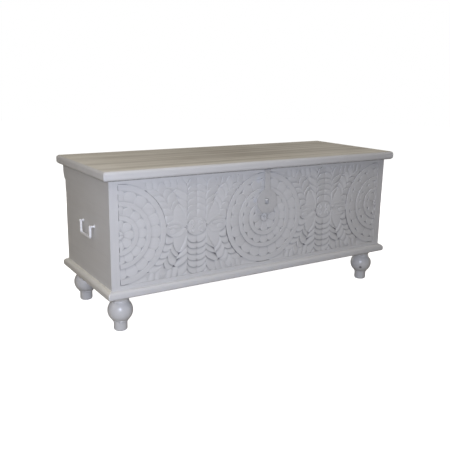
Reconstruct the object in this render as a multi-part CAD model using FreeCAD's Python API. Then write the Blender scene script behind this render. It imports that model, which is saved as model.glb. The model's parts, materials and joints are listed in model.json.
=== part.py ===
import FreeCAD, Part
import math
import os

# Carved chest on turned feet, millimetres, +Z up, front towards -Y.
# The origin is on the floor under the middle of the whole chest.

# Driving sizes of the carcass
body_length = 1115.0
body_depth = 402.0
body_height = 338.0
end_board = 18.0
back_board = 18.0
floor_board = 12.0
post_width = 26.0
post_setdown = 30.0
fit_gap = 0.1
overrun = 5.0

# Front frame and the carved panel in it
frame_thickness = 20.0
stile_width = 28.0
top_rail_height = 12.0
bottom_rail_height = 13.0
groove_width = 6.0
groove_depth = 5.0
groove_setback = 8.0
panel_setback = 1.0
panel_backing = 13.0
panel_joint_gap = 0.6

# Carved relief: rings, petals and leaves
relief_height = 4.0
relief_root = 1.0
relief_margin = 1.5
ring_band = 13.0
middle_ring_outer = 103.0
inner_ring_outer = 61.0
boss_radius = 13.0
petal_gap = 1.6
outer_petals = 20
middle_petals = 16
inner_petals = 8
leaf_clearance = 2.5

# Moulded base and turned feet
base_thickness = 25.5
base_overhang = 16.0
base_member_width = 78.0
base_corner_round = 3.0
base_top_round = 12.0
base_bottom_round = 7.0
base_lip_height = 2.5
base_lip_width = 3.0
foot_height = 119.5
foot_inset = 43.0
foot_ball_radius = 40.0
foot_ball_center = 66.0
foot_flare_radius = 39.0
foot_flare_edge = 3.0
foot_neck_radius = 26.5
foot_neck_height = 100.0
foot_bead_radius = 28.5
foot_bead_height = 4.5
foot_groove_radius = 23.5
foot_ring_radius = 25.0
foot_ring_top = 35.5
foot_ring_bottom = 29.5
foot_pad_radius = 21.5
foot_pad_round = 6.0
foot_tenon_radius = 12.0
foot_tenon_length = 22.0

# Lid
lid_thickness = 30.0
lid_end_overhang = 23.0
lid_front_overhang = 24.5
lid_corner_round = 3.0
lid_edge_round = 10.0
lid_planks = 3
cleat_width = 45.0
cleat_thickness = 16.0
cleat_end_gap = 12.0
cleat_end_distance = 227.5

# Hinge rail and the two butt hinges
rail_thickness = 18.0
rail_height = 54.0
rail_toe = 5.0
rail_taper_height = 28.0
rail_bow = 2.5
hinge_end_distance = 187.5
hinge_length = 76.0
hinge_leaf_depth = 16.0
leaf_thickness = 1.6
leaf_gap = 0.3
knuckle_radius = 3.5
knuckle_gap = 0.3
knuckle_clearance = 0.35
hinge_pin_radius = 1.5
pin_clearance = 0.06
pin_head_radius = 2.4
pin_head_length = 1.2
hinge_screw_spacing = 25.0

# Hasp, its hinge plate and the staple
hasp_standoff = 12.5
hasp_axis_drop = 4.5
hasp_thickness = 2.2
hasp_neck_width = 21.0
hasp_disc_radius = 40.5
hasp_length = 146.0
hasp_neck_round = 14.0
hasp_eye_radius = 2.0
hasp_eye_drop = 9.0
slot_width = 15.0
slot_height = 21.0
slot_round = 3.0
slot_above_staple = 5.0
hasp_plate_width = 36.0
hasp_plate_gap = 1.0
hasp_center_knuckle = 8.0
hasp_screw_offset = 12.5
staple_bar_radius = 2.1
staple_width = 13.0
staple_proud = 1.2
staple_tail = 2.0
staple_hole_clearance = 0.1

# Bail handles on the ends
handle_height = 175.0
handle_forward = 20.0
handle_standoff = 10.0
bail_bar_radius = 3.0
bail_arm_offset = 43.0
bail_drop = 38.0
bail_bend = 7.0
bail_pin_radius = 2.0
bail_side_play = 0.5
post_ball_radius = 4.5
post_stem_radius = 3.0
post_flange_radius = 5.5
post_flange_thickness = 1.2
post_tang_radius = 2.5
nut_thickness = 4.0
nut_across_corners = 9.2
nut_sides = 6
nut_gap = 1.0

# Wood screws
screw_radius = 2.0
screw_head_radius = 4.0
screw_head_height = 2.2
screw_clearance = 0.05
base_screw_bite = 7.0
cleat_screw_bite = 18.0
rail_screw_bite = 12.0
small_screw_radius = 1.3
small_head_radius = 2.4
small_head_height = 1.1
small_screw_length = 11.0

# Places given as shares of the sizes that they follow
base_screw_long_shares = (-0.38, -0.13, 0.13, 0.38)
base_screw_end_shares = (-0.22, 0.22)
rail_screw_shares = (-0.45, -0.22, 0.0, 0.22, 0.45)
cleat_screw_shares = (0.3, 0.7)

# Leaves of one quarter of a palmette: stem end, tip, and how far the two edges bow.
# Across is a share of the half spacing of the rosettes, up is a share of half the carved height.
column_leaf_shares = (
    (0.008, -0.33, 0.118, -0.205, 0.035, 0.040),
    (0.008, -0.46, 0.122, -0.335, 0.035, 0.040),
    (0.008, -0.59, 0.122, -0.465, 0.035, 0.040),
    (0.008, -0.72, 0.122, -0.595, 0.035, 0.040),
    (0.008, -0.86, 0.125, -0.735, 0.035, 0.040),
)
flank_leaf_shares = (
    (0.235, -0.440, 0.150, -0.230, 0.030, 0.020),
    (0.255, -0.570, 0.140, -0.430, 0.030, 0.035),
    (0.265, -0.710, 0.140, -0.560, 0.030, 0.035),
    (0.260, -0.850, 0.150, -0.700, 0.030, 0.035),
    (0.262, -0.470, 0.315, -0.270, 0.022, 0.022),
    (0.280, -0.600, 0.345, -0.420, 0.022, 0.030),
    (0.300, -0.760, 0.400, -0.600, 0.022, 0.035),
)
hugging_leaf_shares = (
    (0.330, -0.245, 0.020, 0.045),
    (0.375, -0.400, 0.020, 0.045),
    (0.420, -0.545, 0.020, 0.045),
    (0.475, -0.685, 0.020, 0.045),
    (0.545, -0.805, 0.020, 0.040),
)
edge_leaf_shares = (
    (0.040, -0.965, 0.115, -0.890, 0.020, 0.030),
    (0.175, -0.965, 0.200, -0.860, 0.020, 0.025),
    (0.310, -0.965, 0.290, -0.840, 0.025, 0.025),
    (0.400, -0.965, 0.385, -0.820, 0.025, 0.025),
    (0.500, -0.965, 0.475, -0.850, 0.025, 0.025),
    (0.600, -0.965, 0.565, -0.890, 0.025, 0.025),
)
middle_leaf_share = (0.150, 0.385, 0.095)
middle_scroll_share = (0.065, 0.040)

# Places worked out from the sizes
hinge_offset = body_length / 2 - hinge_end_distance
cleat_offset = body_length / 2 - cleat_end_distance
hinge_axis_setback = knuckle_radius + knuckle_clearance
back_reach = rail_thickness + hinge_axis_setback + knuckle_radius
body_center_y = (lid_front_overhang - back_reach) / 2
front_face = body_center_y - body_depth / 2
back_face = body_center_y + body_depth / 2
rail_back = back_face + rail_thickness
frame_back = front_face + frame_thickness
back_board_front = back_face - back_board
left_face = -body_length / 2
right_face = body_length / 2
base_top = foot_height + base_thickness
body_top = base_top + body_height
lid_top = body_top + lid_thickness
panel_left = left_face + stile_width
panel_right = right_face - stile_width
panel_bottom = base_top + bottom_rail_height
panel_top = body_top - top_rail_height
panel_middle_z = (panel_bottom + panel_top) / 2
relief_face = front_face + panel_setback
ground_face = relief_face + relief_height
panel_back = ground_face + panel_backing
carved_left = panel_left + panel_joint_gap + relief_margin
carved_half_height = (panel_top - panel_bottom) / 2 - relief_margin
rosette_spacing = -carved_left
outer_ring_outer = carved_half_height
palmette_spacing = rosette_spacing / 2
tongue_half = groove_width / 2 - fit_gap
tongue_middle = front_face + groove_setback + groove_width / 2
hinge_axis_y = rail_back + hinge_axis_setback
hinge_axis_z = body_top - leaf_thickness - leaf_gap / 2
hinge_pocket_depth = 2 * leaf_thickness + leaf_gap
hasp_axis_y = front_face - hasp_standoff
hasp_axis_z = body_top - hasp_axis_drop
hasp_front = hasp_axis_y - hasp_thickness / 2
hasp_back = hasp_axis_y + hasp_thickness / 2
hasp_disc_z = hasp_axis_z - hasp_length + hasp_disc_radius
slot_center_z = hasp_disc_z
staple_z = slot_center_z + slot_height / 2 - slot_above_staple
staple_tip = hasp_front - staple_proud
staple_arc_radius = staple_width / 2 - staple_bar_radius
post_offset = bail_arm_offset + bail_bar_radius + post_ball_radius + bail_side_play
handle_y = body_center_y - handle_forward
handle_z = base_top + handle_height

X = FreeCAD.Vector(1, 0, 0)
Y = FreeCAD.Vector(0, 1, 0)
Z = FreeCAD.Vector(0, 0, 1)

os.makedirs("parts", exist_ok=True)


def point(x, y, z):
    return FreeCAD.Vector(x, y, z)


def block(x0, x1, y0, y1, z0, z1):
    return Part.makeBox(x1 - x0, y1 - y0, z1 - z0, point(x0, y0, z0))


def rod(start, direction, radius, length):
    return Part.makeCylinder(radius, length, start, direction)


def as_made(shape):
    return shape


def mirrored_x(shape):
    return shape.mirror(point(0, 0, 0), X)


def half_turned(shape):
    return shape.rotated(point(0, 0, 0), Z, 180)


ends = (("left", as_made), ("right", mirrored_x))


def save(node, *solids):
    shape = solids[0] if len(solids) == 1 else Part.makeCompound(list(solids))
    shape.exportStep(f"parts/{node}.step")
    print(f"{node}: {len(shape.Solids)} solid, {len(shape.Faces)} faces, valid {shape.isValid()}")


def edges_at_height(shape, height):
    return [e for e in shape.Edges if all(abs(v.Z - height) < fit_gap for v in e.Vertexes)]


def upright_edges(shape):
    return [e for e in shape.Edges if e.BoundBox.ZLength > max(e.BoundBox.XLength, e.BoundBox.YLength)]


def rounded_slab(x0, x1, y0, y1, z0, z1, corner, top_round, bottom_round):
    slab = block(x0, x1, y0, y1, z0, z1)
    slab = slab.makeFillet(corner, upright_edges(slab))
    slab = slab.makeFillet(top_round, edges_at_height(slab, z1))
    return slab.makeFillet(bottom_round, edges_at_height(slab, z0))


# Screws: a round shank with a countersunk head, made along any direction
def screw(head, direction, length, radius, head_radius, head_height):
    shank = rod(head, direction, radius, length)
    cone = Part.makeCone(head_radius, radius, head_height, head, direction)
    return shank.fuse(cone).removeSplitter()


def screw_hole(head, direction, length, radius, head_radius, head_height):
    start = head - direction * screw_clearance
    wide = screw_clearance
    shank = rod(start, direction, radius + wide, length + 2 * wide)
    cone = Part.makeCone(head_radius + wide, radius + wide, head_height + wide, start, direction)
    return shank.fuse(cone)


def wood_screw(head, direction, length):
    return screw(head, direction, length, screw_radius, screw_head_radius, screw_head_height)


def wood_screw_hole(head, direction, length):
    return screw_hole(head, direction, length, screw_radius, screw_head_radius, screw_head_height)


def small_screw(head, direction):
    return screw(head, direction, small_screw_length, small_screw_radius,
                 small_head_radius, small_head_height)


def small_screw_hole(head, direction):
    return screw_hole(head, direction, small_screw_length, small_screw_radius,
                      small_head_radius, small_head_height)


# Places of the screws
def base_screw_heads():
    heads = []
    for share in base_screw_long_shares:
        heads.append(point(share * body_length, front_face + frame_thickness / 2, foot_height))
        heads.append(point(share * body_length, back_face - back_board / 2, foot_height))
    for share in base_screw_end_shares:
        y = body_center_y + share * body_depth
        heads.append(point(left_face + end_board / 2, y, foot_height))
        heads.append(point(right_face - end_board / 2, y, foot_height))
    return heads


def rail_screw_heads():
    height = body_top - rail_height / 2
    return [point(share * body_length, rail_back, height) for share in rail_screw_shares]


def plank_edges():
    front = front_face - lid_front_overhang
    width = (rail_back - front) / lid_planks
    return [front + width * number for number in range(lid_planks + 1)]


def cleat_screw_heads(x):
    edges = plank_edges()
    heads = []
    for front, back in zip(edges, edges[1:]):
        for share in cleat_screw_shares:
            y = front + share * (back - front)
            if cleat_front() + cleat_width / 2 < y < cleat_back() - cleat_width / 2:
                heads.append(point(x, y, body_top - cleat_thickness))
    return heads


def cleat_front():
    return frame_back + cleat_end_gap


def cleat_back():
    return back_board_front - cleat_end_gap


def hinge_centers():
    return (-hinge_offset, hinge_offset)


def hinge_screw_places(center):
    y = rail_back - hinge_leaf_depth / 2
    return [point(center + step * hinge_screw_spacing, y, hinge_axis_z) for step in (-1, 0, 1)]


base_screws = base_screw_heads()
base_screw_length = base_thickness + base_screw_bite
rail_screws = rail_screw_heads()
rail_screw_length = rail_thickness + rail_screw_bite
cleat_screws = cleat_screw_heads(-cleat_offset) + cleat_screw_heads(cleat_offset)
cleat_screw_length = cleat_thickness + cleat_screw_bite


def cut_base_screws(shape):
    return shape.cut([wood_screw_hole(head, Z, base_screw_length) for head in base_screws])


# Front frame: two stiles and two rails around the carved panel
def groove_for_panel(x0, x1, z0, z1):
    return block(x0, x1, tongue_middle - groove_width / 2, tongue_middle + groove_width / 2, z0, z1)


def tongue(x0, x1, z0, z1):
    return block(x0, x1, tongue_middle - tongue_half, tongue_middle + tongue_half, z0, z1)


def front_stile():
    stile = block(left_face, panel_left, front_face, frame_back, base_top, body_top)
    groove = groove_for_panel(panel_left - groove_depth, panel_left + overrun,
                              base_top - overrun, body_top + overrun)
    return stile.cut(groove)


def front_rail(z0, z1, groove_z0, groove_z1):
    reach = groove_depth - fit_gap
    rail = block(panel_left, panel_right, front_face, frame_back, z0, z1)
    rail = rail.fuse(tongue(panel_left - reach, panel_right + reach, z0, z1))
    groove = groove_for_panel(panel_left - groove_depth - overrun, panel_right + groove_depth + overrun,
                              groove_z0, groove_z1)
    return rail.cut(groove).removeSplitter()


# Flat outlines of the relief, drawn on the ground of the panel
def on_panel(across, up):
    return point(across, ground_face + relief_root, panel_middle_z + up)


def raised(wire):
    depth = relief_height + relief_root
    return Part.Face(wire).extrude(-Y * depth)


def raised_disc(across, radius):
    return rod(on_panel(across, 0), -Y, radius, relief_height + relief_root)


def raised_ring(across, outer):
    depth = relief_height + relief_root
    inner = rod(on_panel(across, 0) + Y * overrun, -Y, outer - ring_band, depth + 2 * overrun)
    return rod(on_panel(across, 0), -Y, outer, depth).cut(inner)


def around(across, radius, angle):
    return on_panel(across + radius * math.cos(angle), radius * math.sin(angle))


def petal(across, inner, outer, angle, half_angle):
    """One arched petal of a band: straight sides and a round end towards the rim."""
    half = half_angle - petal_gap / outer
    inner_half = half_angle - petal_gap / inner
    shoulder = outer - (outer - inner) / 3
    root_left = around(across, inner, angle - inner_half)
    root_right = around(across, inner, angle + inner_half)
    left = around(across, shoulder, angle - half)
    right = around(across, shoulder, angle + half)
    edges = [
        Part.Arc(root_left, around(across, inner, angle), root_right).toShape(),
        Part.makeLine(root_right, right),
        Part.Arc(right, around(across, outer, angle), left).toShape(),
        Part.makeLine(left, root_left),
    ]
    return raised(Part.Wire(edges))


def petal_band(across, inner, outer, count):
    half_angle = math.pi / count
    middles = [2 * half_angle * number for number in range(count)]
    return [petal(across, inner + petal_gap, outer - petal_gap, middle, half_angle) for middle in middles]


def rosette(across):
    radii = (outer_ring_outer, middle_ring_outer, inner_ring_outer)
    rings = [raised_ring(across, outer) for outer in radii]
    petals = petal_band(across, middle_ring_outer, outer_ring_outer - ring_band, outer_petals)
    petals += petal_band(across, inner_ring_outer, middle_ring_outer - ring_band, middle_petals)
    petals += petal_band(across, boss_radius, inner_ring_outer - ring_band, inner_petals)
    return rings + petals + [raised_disc(across, boss_radius)]


def half_rosette(across, keep_from, keep_to):
    """The part of a rosette that lies within the carved length."""
    top = outer_ring_outer + overrun
    window = block(keep_from, keep_to, relief_face - overrun, panel_back,
                   panel_middle_z - top, panel_middle_z + top)
    pieces = [piece.common(window) for piece in rosette(across)]
    return [solid for piece in pieces for solid in piece.Solids]


def bowed_leaf(stem, tip, lower_bow, upper_bow):
    """A pointed leaf between two bowed edges, from (across, up) of its stem end and tip."""
    run = (tip[0] - stem[0], tip[1] - stem[1])
    middle = ((stem[0] + tip[0]) / 2, (stem[1] + tip[1]) / 2)
    length = math.hypot(*run)
    side = (-run[1] / length, run[0] / length)
    start = on_panel(*stem)
    end = on_panel(*tip)
    low = on_panel(middle[0] - side[0] * lower_bow, middle[1] - side[1] * lower_bow)
    high = on_panel(middle[0] + side[0] * upper_bow, middle[1] + side[1] * upper_bow)
    edges = [Part.Arc(start, low, end).toShape(), Part.Arc(end, high, start).toShape()]
    return raised(Part.Wire(edges))


def rim_reach(up):
    """How far from the palmette's middle a leaf may reach before the rosette's rim."""
    radius = outer_ring_outer + leaf_clearance
    return palmette_spacing - math.sqrt(max(radius ** 2 - up ** 2, 0))


def quarter_leaves():
    """Leaves below and to the right of a palmette's middle, with the middle at zero."""
    wide = palmette_spacing
    high = carved_half_height
    leaves = []
    for stem_x, stem_z, tip_x, tip_z, low, top in column_leaf_shares + flank_leaf_shares + edge_leaf_shares:
        stem = (stem_x * wide, stem_z * high)
        tip = (tip_x * wide, tip_z * high)
        leaves.append((stem, tip, low * wide, top * wide))
    for stem_x, up, low, top in hugging_leaf_shares:
        stem = (stem_x * wide, up * high)
        tip = (rim_reach(up * high), up * high)
        leaves.append((stem, tip, low * wide, top * wide))
    return leaves


def palmette(across):
    pieces = []
    for stem, tip, low, top in quarter_leaves():
        for side in (-1, 1):
            for up in (-1, 1):
                flipped = side * up < 0
                start = (across + side * stem[0], up * -stem[1])
                end = (across + side * tip[0], up * -tip[1])
                bows = (top, low) if flipped else (low, top)
                pieces.append(bowed_leaf(start, end, *bows))
    near, far, bow = (share * palmette_spacing for share in middle_leaf_share)
    scroll_x, scroll_radius = (share * palmette_spacing for share in middle_scroll_share)
    for side in (-1, 1):
        pieces.append(bowed_leaf((across + side * near, 0), (across + side * far, 0), bow, bow))
        pieces.append(raised_disc(across + side * scroll_x, scroll_radius))
    return pieces


def carved_panel():
    edge = panel_joint_gap
    reach = groove_depth - fit_gap
    board = block(panel_left + edge, panel_right - edge, ground_face, panel_back, panel_bottom, panel_top)
    board = board.fuse(tongue(panel_left - reach, panel_right + reach,
                              panel_bottom - reach, panel_top + reach)).removeSplitter()
    carving = rosette(0) + palmette(-palmette_spacing) + palmette(palmette_spacing)
    carving += half_rosette(-rosette_spacing, carved_left, 0)
    carving += half_rosette(rosette_spacing, 0, -carved_left)
    board = board.multiFuse(carving)
    return board.cut(staple_holes())


def staple_holes():
    length = staple_tail + panel_back - hasp_front + overrun
    return [rod(point(side * staple_arc_radius, panel_back + staple_tail, staple_z), -Y,
                staple_bar_radius + staple_hole_clearance, length) for side in (-1, 1)]


# Carcass boards
def side_panel():
    panel = block(left_face, left_face + end_board, frame_back, back_board_front, base_top, body_top)
    holes = [rod(point(left_face - overrun, handle_y + side * post_offset, handle_z), X,
                 post_tang_radius + fit_gap, end_board + 2 * overrun) for side in (-1, 1)]
    return panel.cut(holes)


def back_panel():
    panel = block(left_face, right_face, back_board_front, back_face, base_top, body_top)
    return panel.cut([wood_screw_hole(head, -Y, rail_screw_length) for head in rail_screws])


def inner_floor():
    return block(left_face + end_board, right_face - end_board, frame_back, back_board_front,
                 base_top, base_top + floor_board)


def corner_post(front):
    y0 = frame_back if front else back_board_front - post_width
    x0 = left_face + end_board
    return block(x0, x0 + post_width, y0, y0 + post_width, base_top + floor_board, body_top - post_setdown)


# Moulded base in four mitred members
def base_slab():
    reach = base_overhang
    slab = rounded_slab(left_face - reach, right_face + reach, front_face - reach, back_face + reach,
                        foot_height, base_top, base_corner_round, base_top_round, base_bottom_round)
    lip = block(left_face - base_lip_width, right_face + base_lip_width,
                front_face - base_lip_width, back_face + base_lip_width,
                base_top - base_lip_height, base_top + base_lip_height)
    body_room = block(left_face, right_face, front_face, back_face, base_top, body_top)
    inset = base_member_width - reach
    middle = block(left_face + inset, right_face - inset, front_face + inset, back_face - inset,
                   foot_height - overrun, base_top + overrun)
    return slab.fuse(lip).cut(body_room).cut(middle).removeSplitter()


def mitre_wedge(corner_a, corner_b, inner_b, inner_a):
    corners = (corner_a, corner_b, inner_b, inner_a, corner_a)
    outline = [point(x, y, foot_height - overrun) for x, y in corners]
    height = base_thickness + base_lip_height + 2 * overrun
    return Part.Face(Part.makePolygon(outline)).extrude(Z * height)


def base_members():
    reach = base_overhang
    width = base_member_width
    x0, x1 = left_face - reach, right_face + reach
    y0, y1 = front_face - reach, back_face + reach
    front = mitre_wedge((x0, y0), (x1, y0), (x1 - width, y0 + width), (x0 + width, y0 + width))
    back = mitre_wedge((x1, y1), (x0, y1), (x0 + width, y1 - width), (x1 - width, y1 - width))
    left = mitre_wedge((x0, y1), (x0, y0), (x0 + width, y0 + width), (x0 + width, y1 - width))
    right = mitre_wedge((x1, y0), (x1, y1), (x1 - width, y1 - width), (x1 - width, y0 + width))
    wedges = {"base_front": front, "base_back": back, "base_left": left, "base_right": right}
    bores = [rod(point(x, y, foot_height - overrun), Z, foot_tenon_radius + fit_gap,
                 foot_tenon_length + fit_gap + overrun) for x, y in foot_places().values()]
    slab = cut_base_screws(base_slab()).cut(bores)
    return {name: slab.common(wedge) for name, wedge in wedges.items()}


def foot_places():
    x = right_face - foot_inset
    front = front_face + foot_inset
    back = back_face - foot_inset
    return {
        "front_left": (-x, front),
        "front_right": (x, front),
        "back_left": (-x, back),
        "back_right": (x, back),
    }


def foot_ball_radius_at(height):
    return math.sqrt(foot_ball_radius ** 2 - (height - foot_ball_center) ** 2)


def turned_foot():
    """Half outline of the foot, turned about its axis, from the floor up to its tenon."""
    bead_low = foot_neck_height - foot_bead_height
    cove_top = foot_height - foot_flare_edge
    cove_x = foot_neck_radius + (foot_flare_radius - foot_neck_radius) / 3
    cove_z = foot_neck_height + (cove_top - foot_neck_height) / 2
    ball_top = point(foot_ball_radius_at(bead_low), 0, bead_low)
    ball_low = point(foot_ball_radius_at(foot_ring_top), 0, foot_ring_top)
    round_middle = foot_pad_round * (1 - math.sqrt(0.5))
    floor_edge = point(foot_pad_radius - foot_pad_round, 0, 0)
    pad_round = point(foot_pad_radius - round_middle, 0, round_middle)
    pad_round_top = point(foot_pad_radius, 0, foot_pad_round)
    tenon_top = foot_height + foot_tenon_length
    groove = point(foot_groove_radius, 0, foot_ring_top)
    ring_outer = point(foot_ring_radius, 0, (foot_ring_top + foot_ring_bottom) / 2)
    ring_low = point(foot_pad_radius, 0, foot_ring_bottom)
    neck = point(foot_neck_radius, 0, foot_neck_height)
    bead = point(foot_bead_radius, 0, foot_neck_height - foot_bead_height / 2)
    flare = point(foot_flare_radius, 0, cove_top)
    edges = [
        Part.makeLine(point(0, 0, 0), floor_edge),
        Part.Arc(floor_edge, pad_round, pad_round_top).toShape(),
        Part.makeLine(pad_round_top, ring_low),
        Part.Arc(ring_low, ring_outer, groove).toShape(),
        Part.makeLine(groove, ball_low),
        Part.Arc(ball_low, point(foot_ball_radius, 0, foot_ball_center), ball_top).toShape(),
        Part.Arc(ball_top, bead, neck).toShape(),
        Part.Arc(neck, point(cove_x, 0, cove_z), flare).toShape(),
        Part.makeLine(flare, point(foot_flare_radius, 0, foot_height)),
        Part.makeLine(point(foot_flare_radius, 0, foot_height), point(foot_tenon_radius, 0, foot_height)),
        Part.makeLine(point(foot_tenon_radius, 0, foot_height), point(foot_tenon_radius, 0, tenon_top)),
        Part.makeLine(point(foot_tenon_radius, 0, tenon_top), point(0, 0, tenon_top)),
        Part.makeLine(point(0, 0, tenon_top), point(0, 0, 0)),
    ]
    return Part.Face(Part.Wire(edges)).revolve(point(0, 0, 0), Z, 360)


# Lid of planks on two cleats
def lid_slab():
    slab = rounded_slab(left_face - lid_end_overhang, right_face + lid_end_overhang,
                        front_face - lid_front_overhang, rail_back, body_top, lid_top,
                        lid_corner_round, lid_edge_round, lid_edge_round)
    holes = [wood_screw_hole(head, Z, cleat_screw_length) for head in cleat_screws]
    holes += [small_screw_hole(point(p.x, p.y, body_top - leaf_thickness), Z)
              for center in hinge_centers() for p in hinge_screw_places(center)]
    holes += [small_screw_hole(head, Z) for head in hasp_screw_heads()]
    return slab.cut(holes)


def lid_plank_solids():
    slab = lid_slab()
    edges = plank_edges()
    reach = right_face + lid_end_overhang + overrun
    return [slab.common(block(-reach, reach, front, back, body_top - overrun, lid_top + overrun))
            for front, back in zip(edges, edges[1:])]


def lid_cleat(x):
    cleat = block(x - cleat_width / 2, x + cleat_width / 2, cleat_front(), cleat_back(),
                  body_top - cleat_thickness, body_top)
    return cleat.cut([wood_screw_hole(head, Z, cleat_screw_length) for head in cleat_screw_heads(x)])


# Hinge rail behind the back panel, its lower half tapered
def hinge_rail():
    bottom = body_top - rail_height
    bend = bottom + rail_taper_height
    narrowing = rail_thickness - rail_toe
    slope = math.hypot(rail_taper_height, narrowing)
    swell_y = back_face + rail_toe + narrowing / 2 + rail_bow * rail_taper_height / slope
    swell_z = bottom + rail_taper_height / 2 - rail_bow * narrowing / slope
    corners = [(back_face, body_top), (rail_back, body_top), (rail_back, bend),
               (back_face + rail_toe, bottom), (back_face, bottom)]
    top_front, top_back, waist, toe, foot = [point(left_face, y, z) for y, z in corners]
    edges = [
        Part.makeLine(top_front, top_back),
        Part.makeLine(top_back, waist),
        Part.Arc(waist, point(left_face, swell_y, swell_z), toe).toShape(),
        Part.makeLine(toe, foot),
        Part.makeLine(foot, top_front),
    ]
    rail = Part.Face(Part.Wire(edges)).extrude(X * body_length)
    half = hinge_length / 2 + fit_gap
    pockets = [block(center - half, center + half, back_face - overrun, rail_back + overrun,
                     body_top - hinge_pocket_depth, body_top + overrun) for center in hinge_centers()]
    lower_face = body_top - hinge_pocket_depth + leaf_thickness
    holes = [small_screw_hole(point(p.x, p.y, lower_face), -Z)
             for center in hinge_centers() for p in hinge_screw_places(center)]
    holes += [wood_screw_hole(head, -Y, rail_screw_length) for head in rail_screws]
    return rail.cut(pockets).cut(holes)


# Butt hinge: the lower leaf has the two outer knuckles, the upper leaf the middle one
def knuckle_spans(center):
    third = hinge_length / 3
    left = center - hinge_length / 2
    return ((left, left + third), (left + third, left + 2 * third), (left + 2 * third, left + 3 * third))


def axis_rod(x0, x1, radius):
    return rod(point(x0, hinge_axis_y, hinge_axis_z), X, radius, x1 - x0)


def hinge_leaf(center, z0, z1, own, others):
    half = hinge_length / 2
    leaf = block(center - half, center + half, rail_back - hinge_leaf_depth, hinge_axis_y, z0, z1)
    for x0, x1 in others:
        leaf = leaf.cut(axis_rod(x0 - knuckle_gap, x1 + knuckle_gap, knuckle_radius + knuckle_gap))
    for x0, x1 in own:
        leaf = leaf.fuse(axis_rod(x0, x1, knuckle_radius))
    bore = axis_rod(center - half - overrun, center + half + overrun, hinge_pin_radius + pin_clearance)
    return leaf.cut(bore).removeSplitter()


def lower_leaf(center):
    first, middle, last = knuckle_spans(center)
    low = body_top - hinge_pocket_depth
    leaf = hinge_leaf(center, low, low + leaf_thickness, (first, last), (middle,))
    face = low + leaf_thickness
    return leaf.cut([small_screw_hole(point(p.x, p.y, face), -Z) for p in hinge_screw_places(center)])


def upper_leaf(center):
    first, middle, last = knuckle_spans(center)
    low = body_top - leaf_thickness
    leaf = hinge_leaf(center, low, body_top, (middle,), (first, last))
    return leaf.cut([small_screw_hole(point(p.x, p.y, low), Z) for p in hinge_screw_places(center)])


def hinge_pin(center):
    half = hinge_length / 2 + knuckle_gap
    pin = axis_rod(center - half, center + half, hinge_pin_radius)
    head = axis_rod(center - half - pin_head_length, center - half, pin_head_radius)
    tail = axis_rod(center + half, center + half + pin_head_length, pin_head_radius)
    return pin.fuse([head, tail]).removeSplitter()


# Hasp and what carries it under the lid's front edge
def hasp_axis_rod(x0, x1, radius):
    return rod(point(x0, hasp_axis_y, hasp_axis_z), X, radius, x1 - x0)


def hasp_screw_heads():
    y = (hasp_axis_y + front_face - hasp_plate_gap) / 2
    return [point(side * hasp_screw_offset, y, body_top - leaf_thickness) for side in (-1, 1)]


def hasp_plate():
    half = hasp_plate_width / 2
    plate = block(-half, half, hasp_axis_y, front_face - hasp_plate_gap,
                  body_top - leaf_thickness, body_top)
    room = knuckle_radius + knuckle_gap
    middle = hasp_center_knuckle / 2
    for side in (-1, 1):
        x0 = middle if side > 0 else -half
        x1 = half if side > 0 else -middle
        plate = plate.cut(hasp_axis_rod(x0, x1, room))
    plate = plate.fuse(hasp_axis_rod(-middle, middle, knuckle_radius))
    plate = plate.cut(hasp_axis_rod(-half, half, hinge_pin_radius + pin_clearance))
    return plate.cut([small_screw_hole(head, Z) for head in hasp_screw_heads()]).removeSplitter()


def junction_edges(shape, half_width):
    """Edges along Y where the neck's sides meet the disc."""
    found = []
    for edge in shape.Edges:
        box = edge.BoundBox
        along_y = box.YLength > fit_gap and box.XLength < fit_gap and box.ZLength < fit_gap
        below_axis = box.ZMax < hasp_axis_z - hasp_neck_round
        if along_y and below_axis and abs(abs(box.XMin) - half_width) < fit_gap:
            found.append(edge)
    return found


def hasp():
    half = hasp_neck_width / 2
    neck = block(-half, half, hasp_front, hasp_back, hasp_disc_z, hasp_axis_z)
    disc = rod(point(0, hasp_front, hasp_disc_z), Y, hasp_disc_radius, hasp_thickness)
    plate = neck.fuse(disc).removeSplitter()
    plate = plate.makeFillet(hasp_neck_round, junction_edges(plate, half))
    middle = hasp_center_knuckle / 2 + knuckle_gap
    for x0, x1 in ((-half, -middle), (middle, half)):
        plate = plate.fuse(hasp_axis_rod(x0, x1, knuckle_radius))
    room = knuckle_radius + knuckle_gap
    plate = plate.cut(block(-middle, middle, hasp_axis_y - room, hasp_axis_y + room,
                            hasp_axis_z - room, hasp_axis_z + room))
    plate = plate.cut(hasp_axis_rod(-half - overrun, half + overrun, hinge_pin_radius + pin_clearance))
    slot = block(-slot_width / 2, slot_width / 2, hasp_front - overrun, hasp_back + overrun,
                 slot_center_z - slot_height / 2, slot_center_z + slot_height / 2)
    across = [e for e in slot.Edges if e.BoundBox.YLength > hasp_thickness]
    slot = slot.makeFillet(slot_round, across)
    eye = rod(point(0, hasp_front - overrun, hasp_axis_z - hasp_eye_drop), Y, hasp_eye_radius,
              hasp_thickness + 2 * overrun)
    return plate.cut([slot, eye]).removeSplitter()


def hasp_pin():
    half = hasp_neck_width / 2 + knuckle_gap
    pin = hasp_axis_rod(-half, half, hinge_pin_radius)
    head = hasp_axis_rod(-half - pin_head_length, -half, pin_head_radius)
    tail = hasp_axis_rod(half, half + pin_head_length, pin_head_radius)
    return pin.fuse([head, tail]).removeSplitter()


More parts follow.
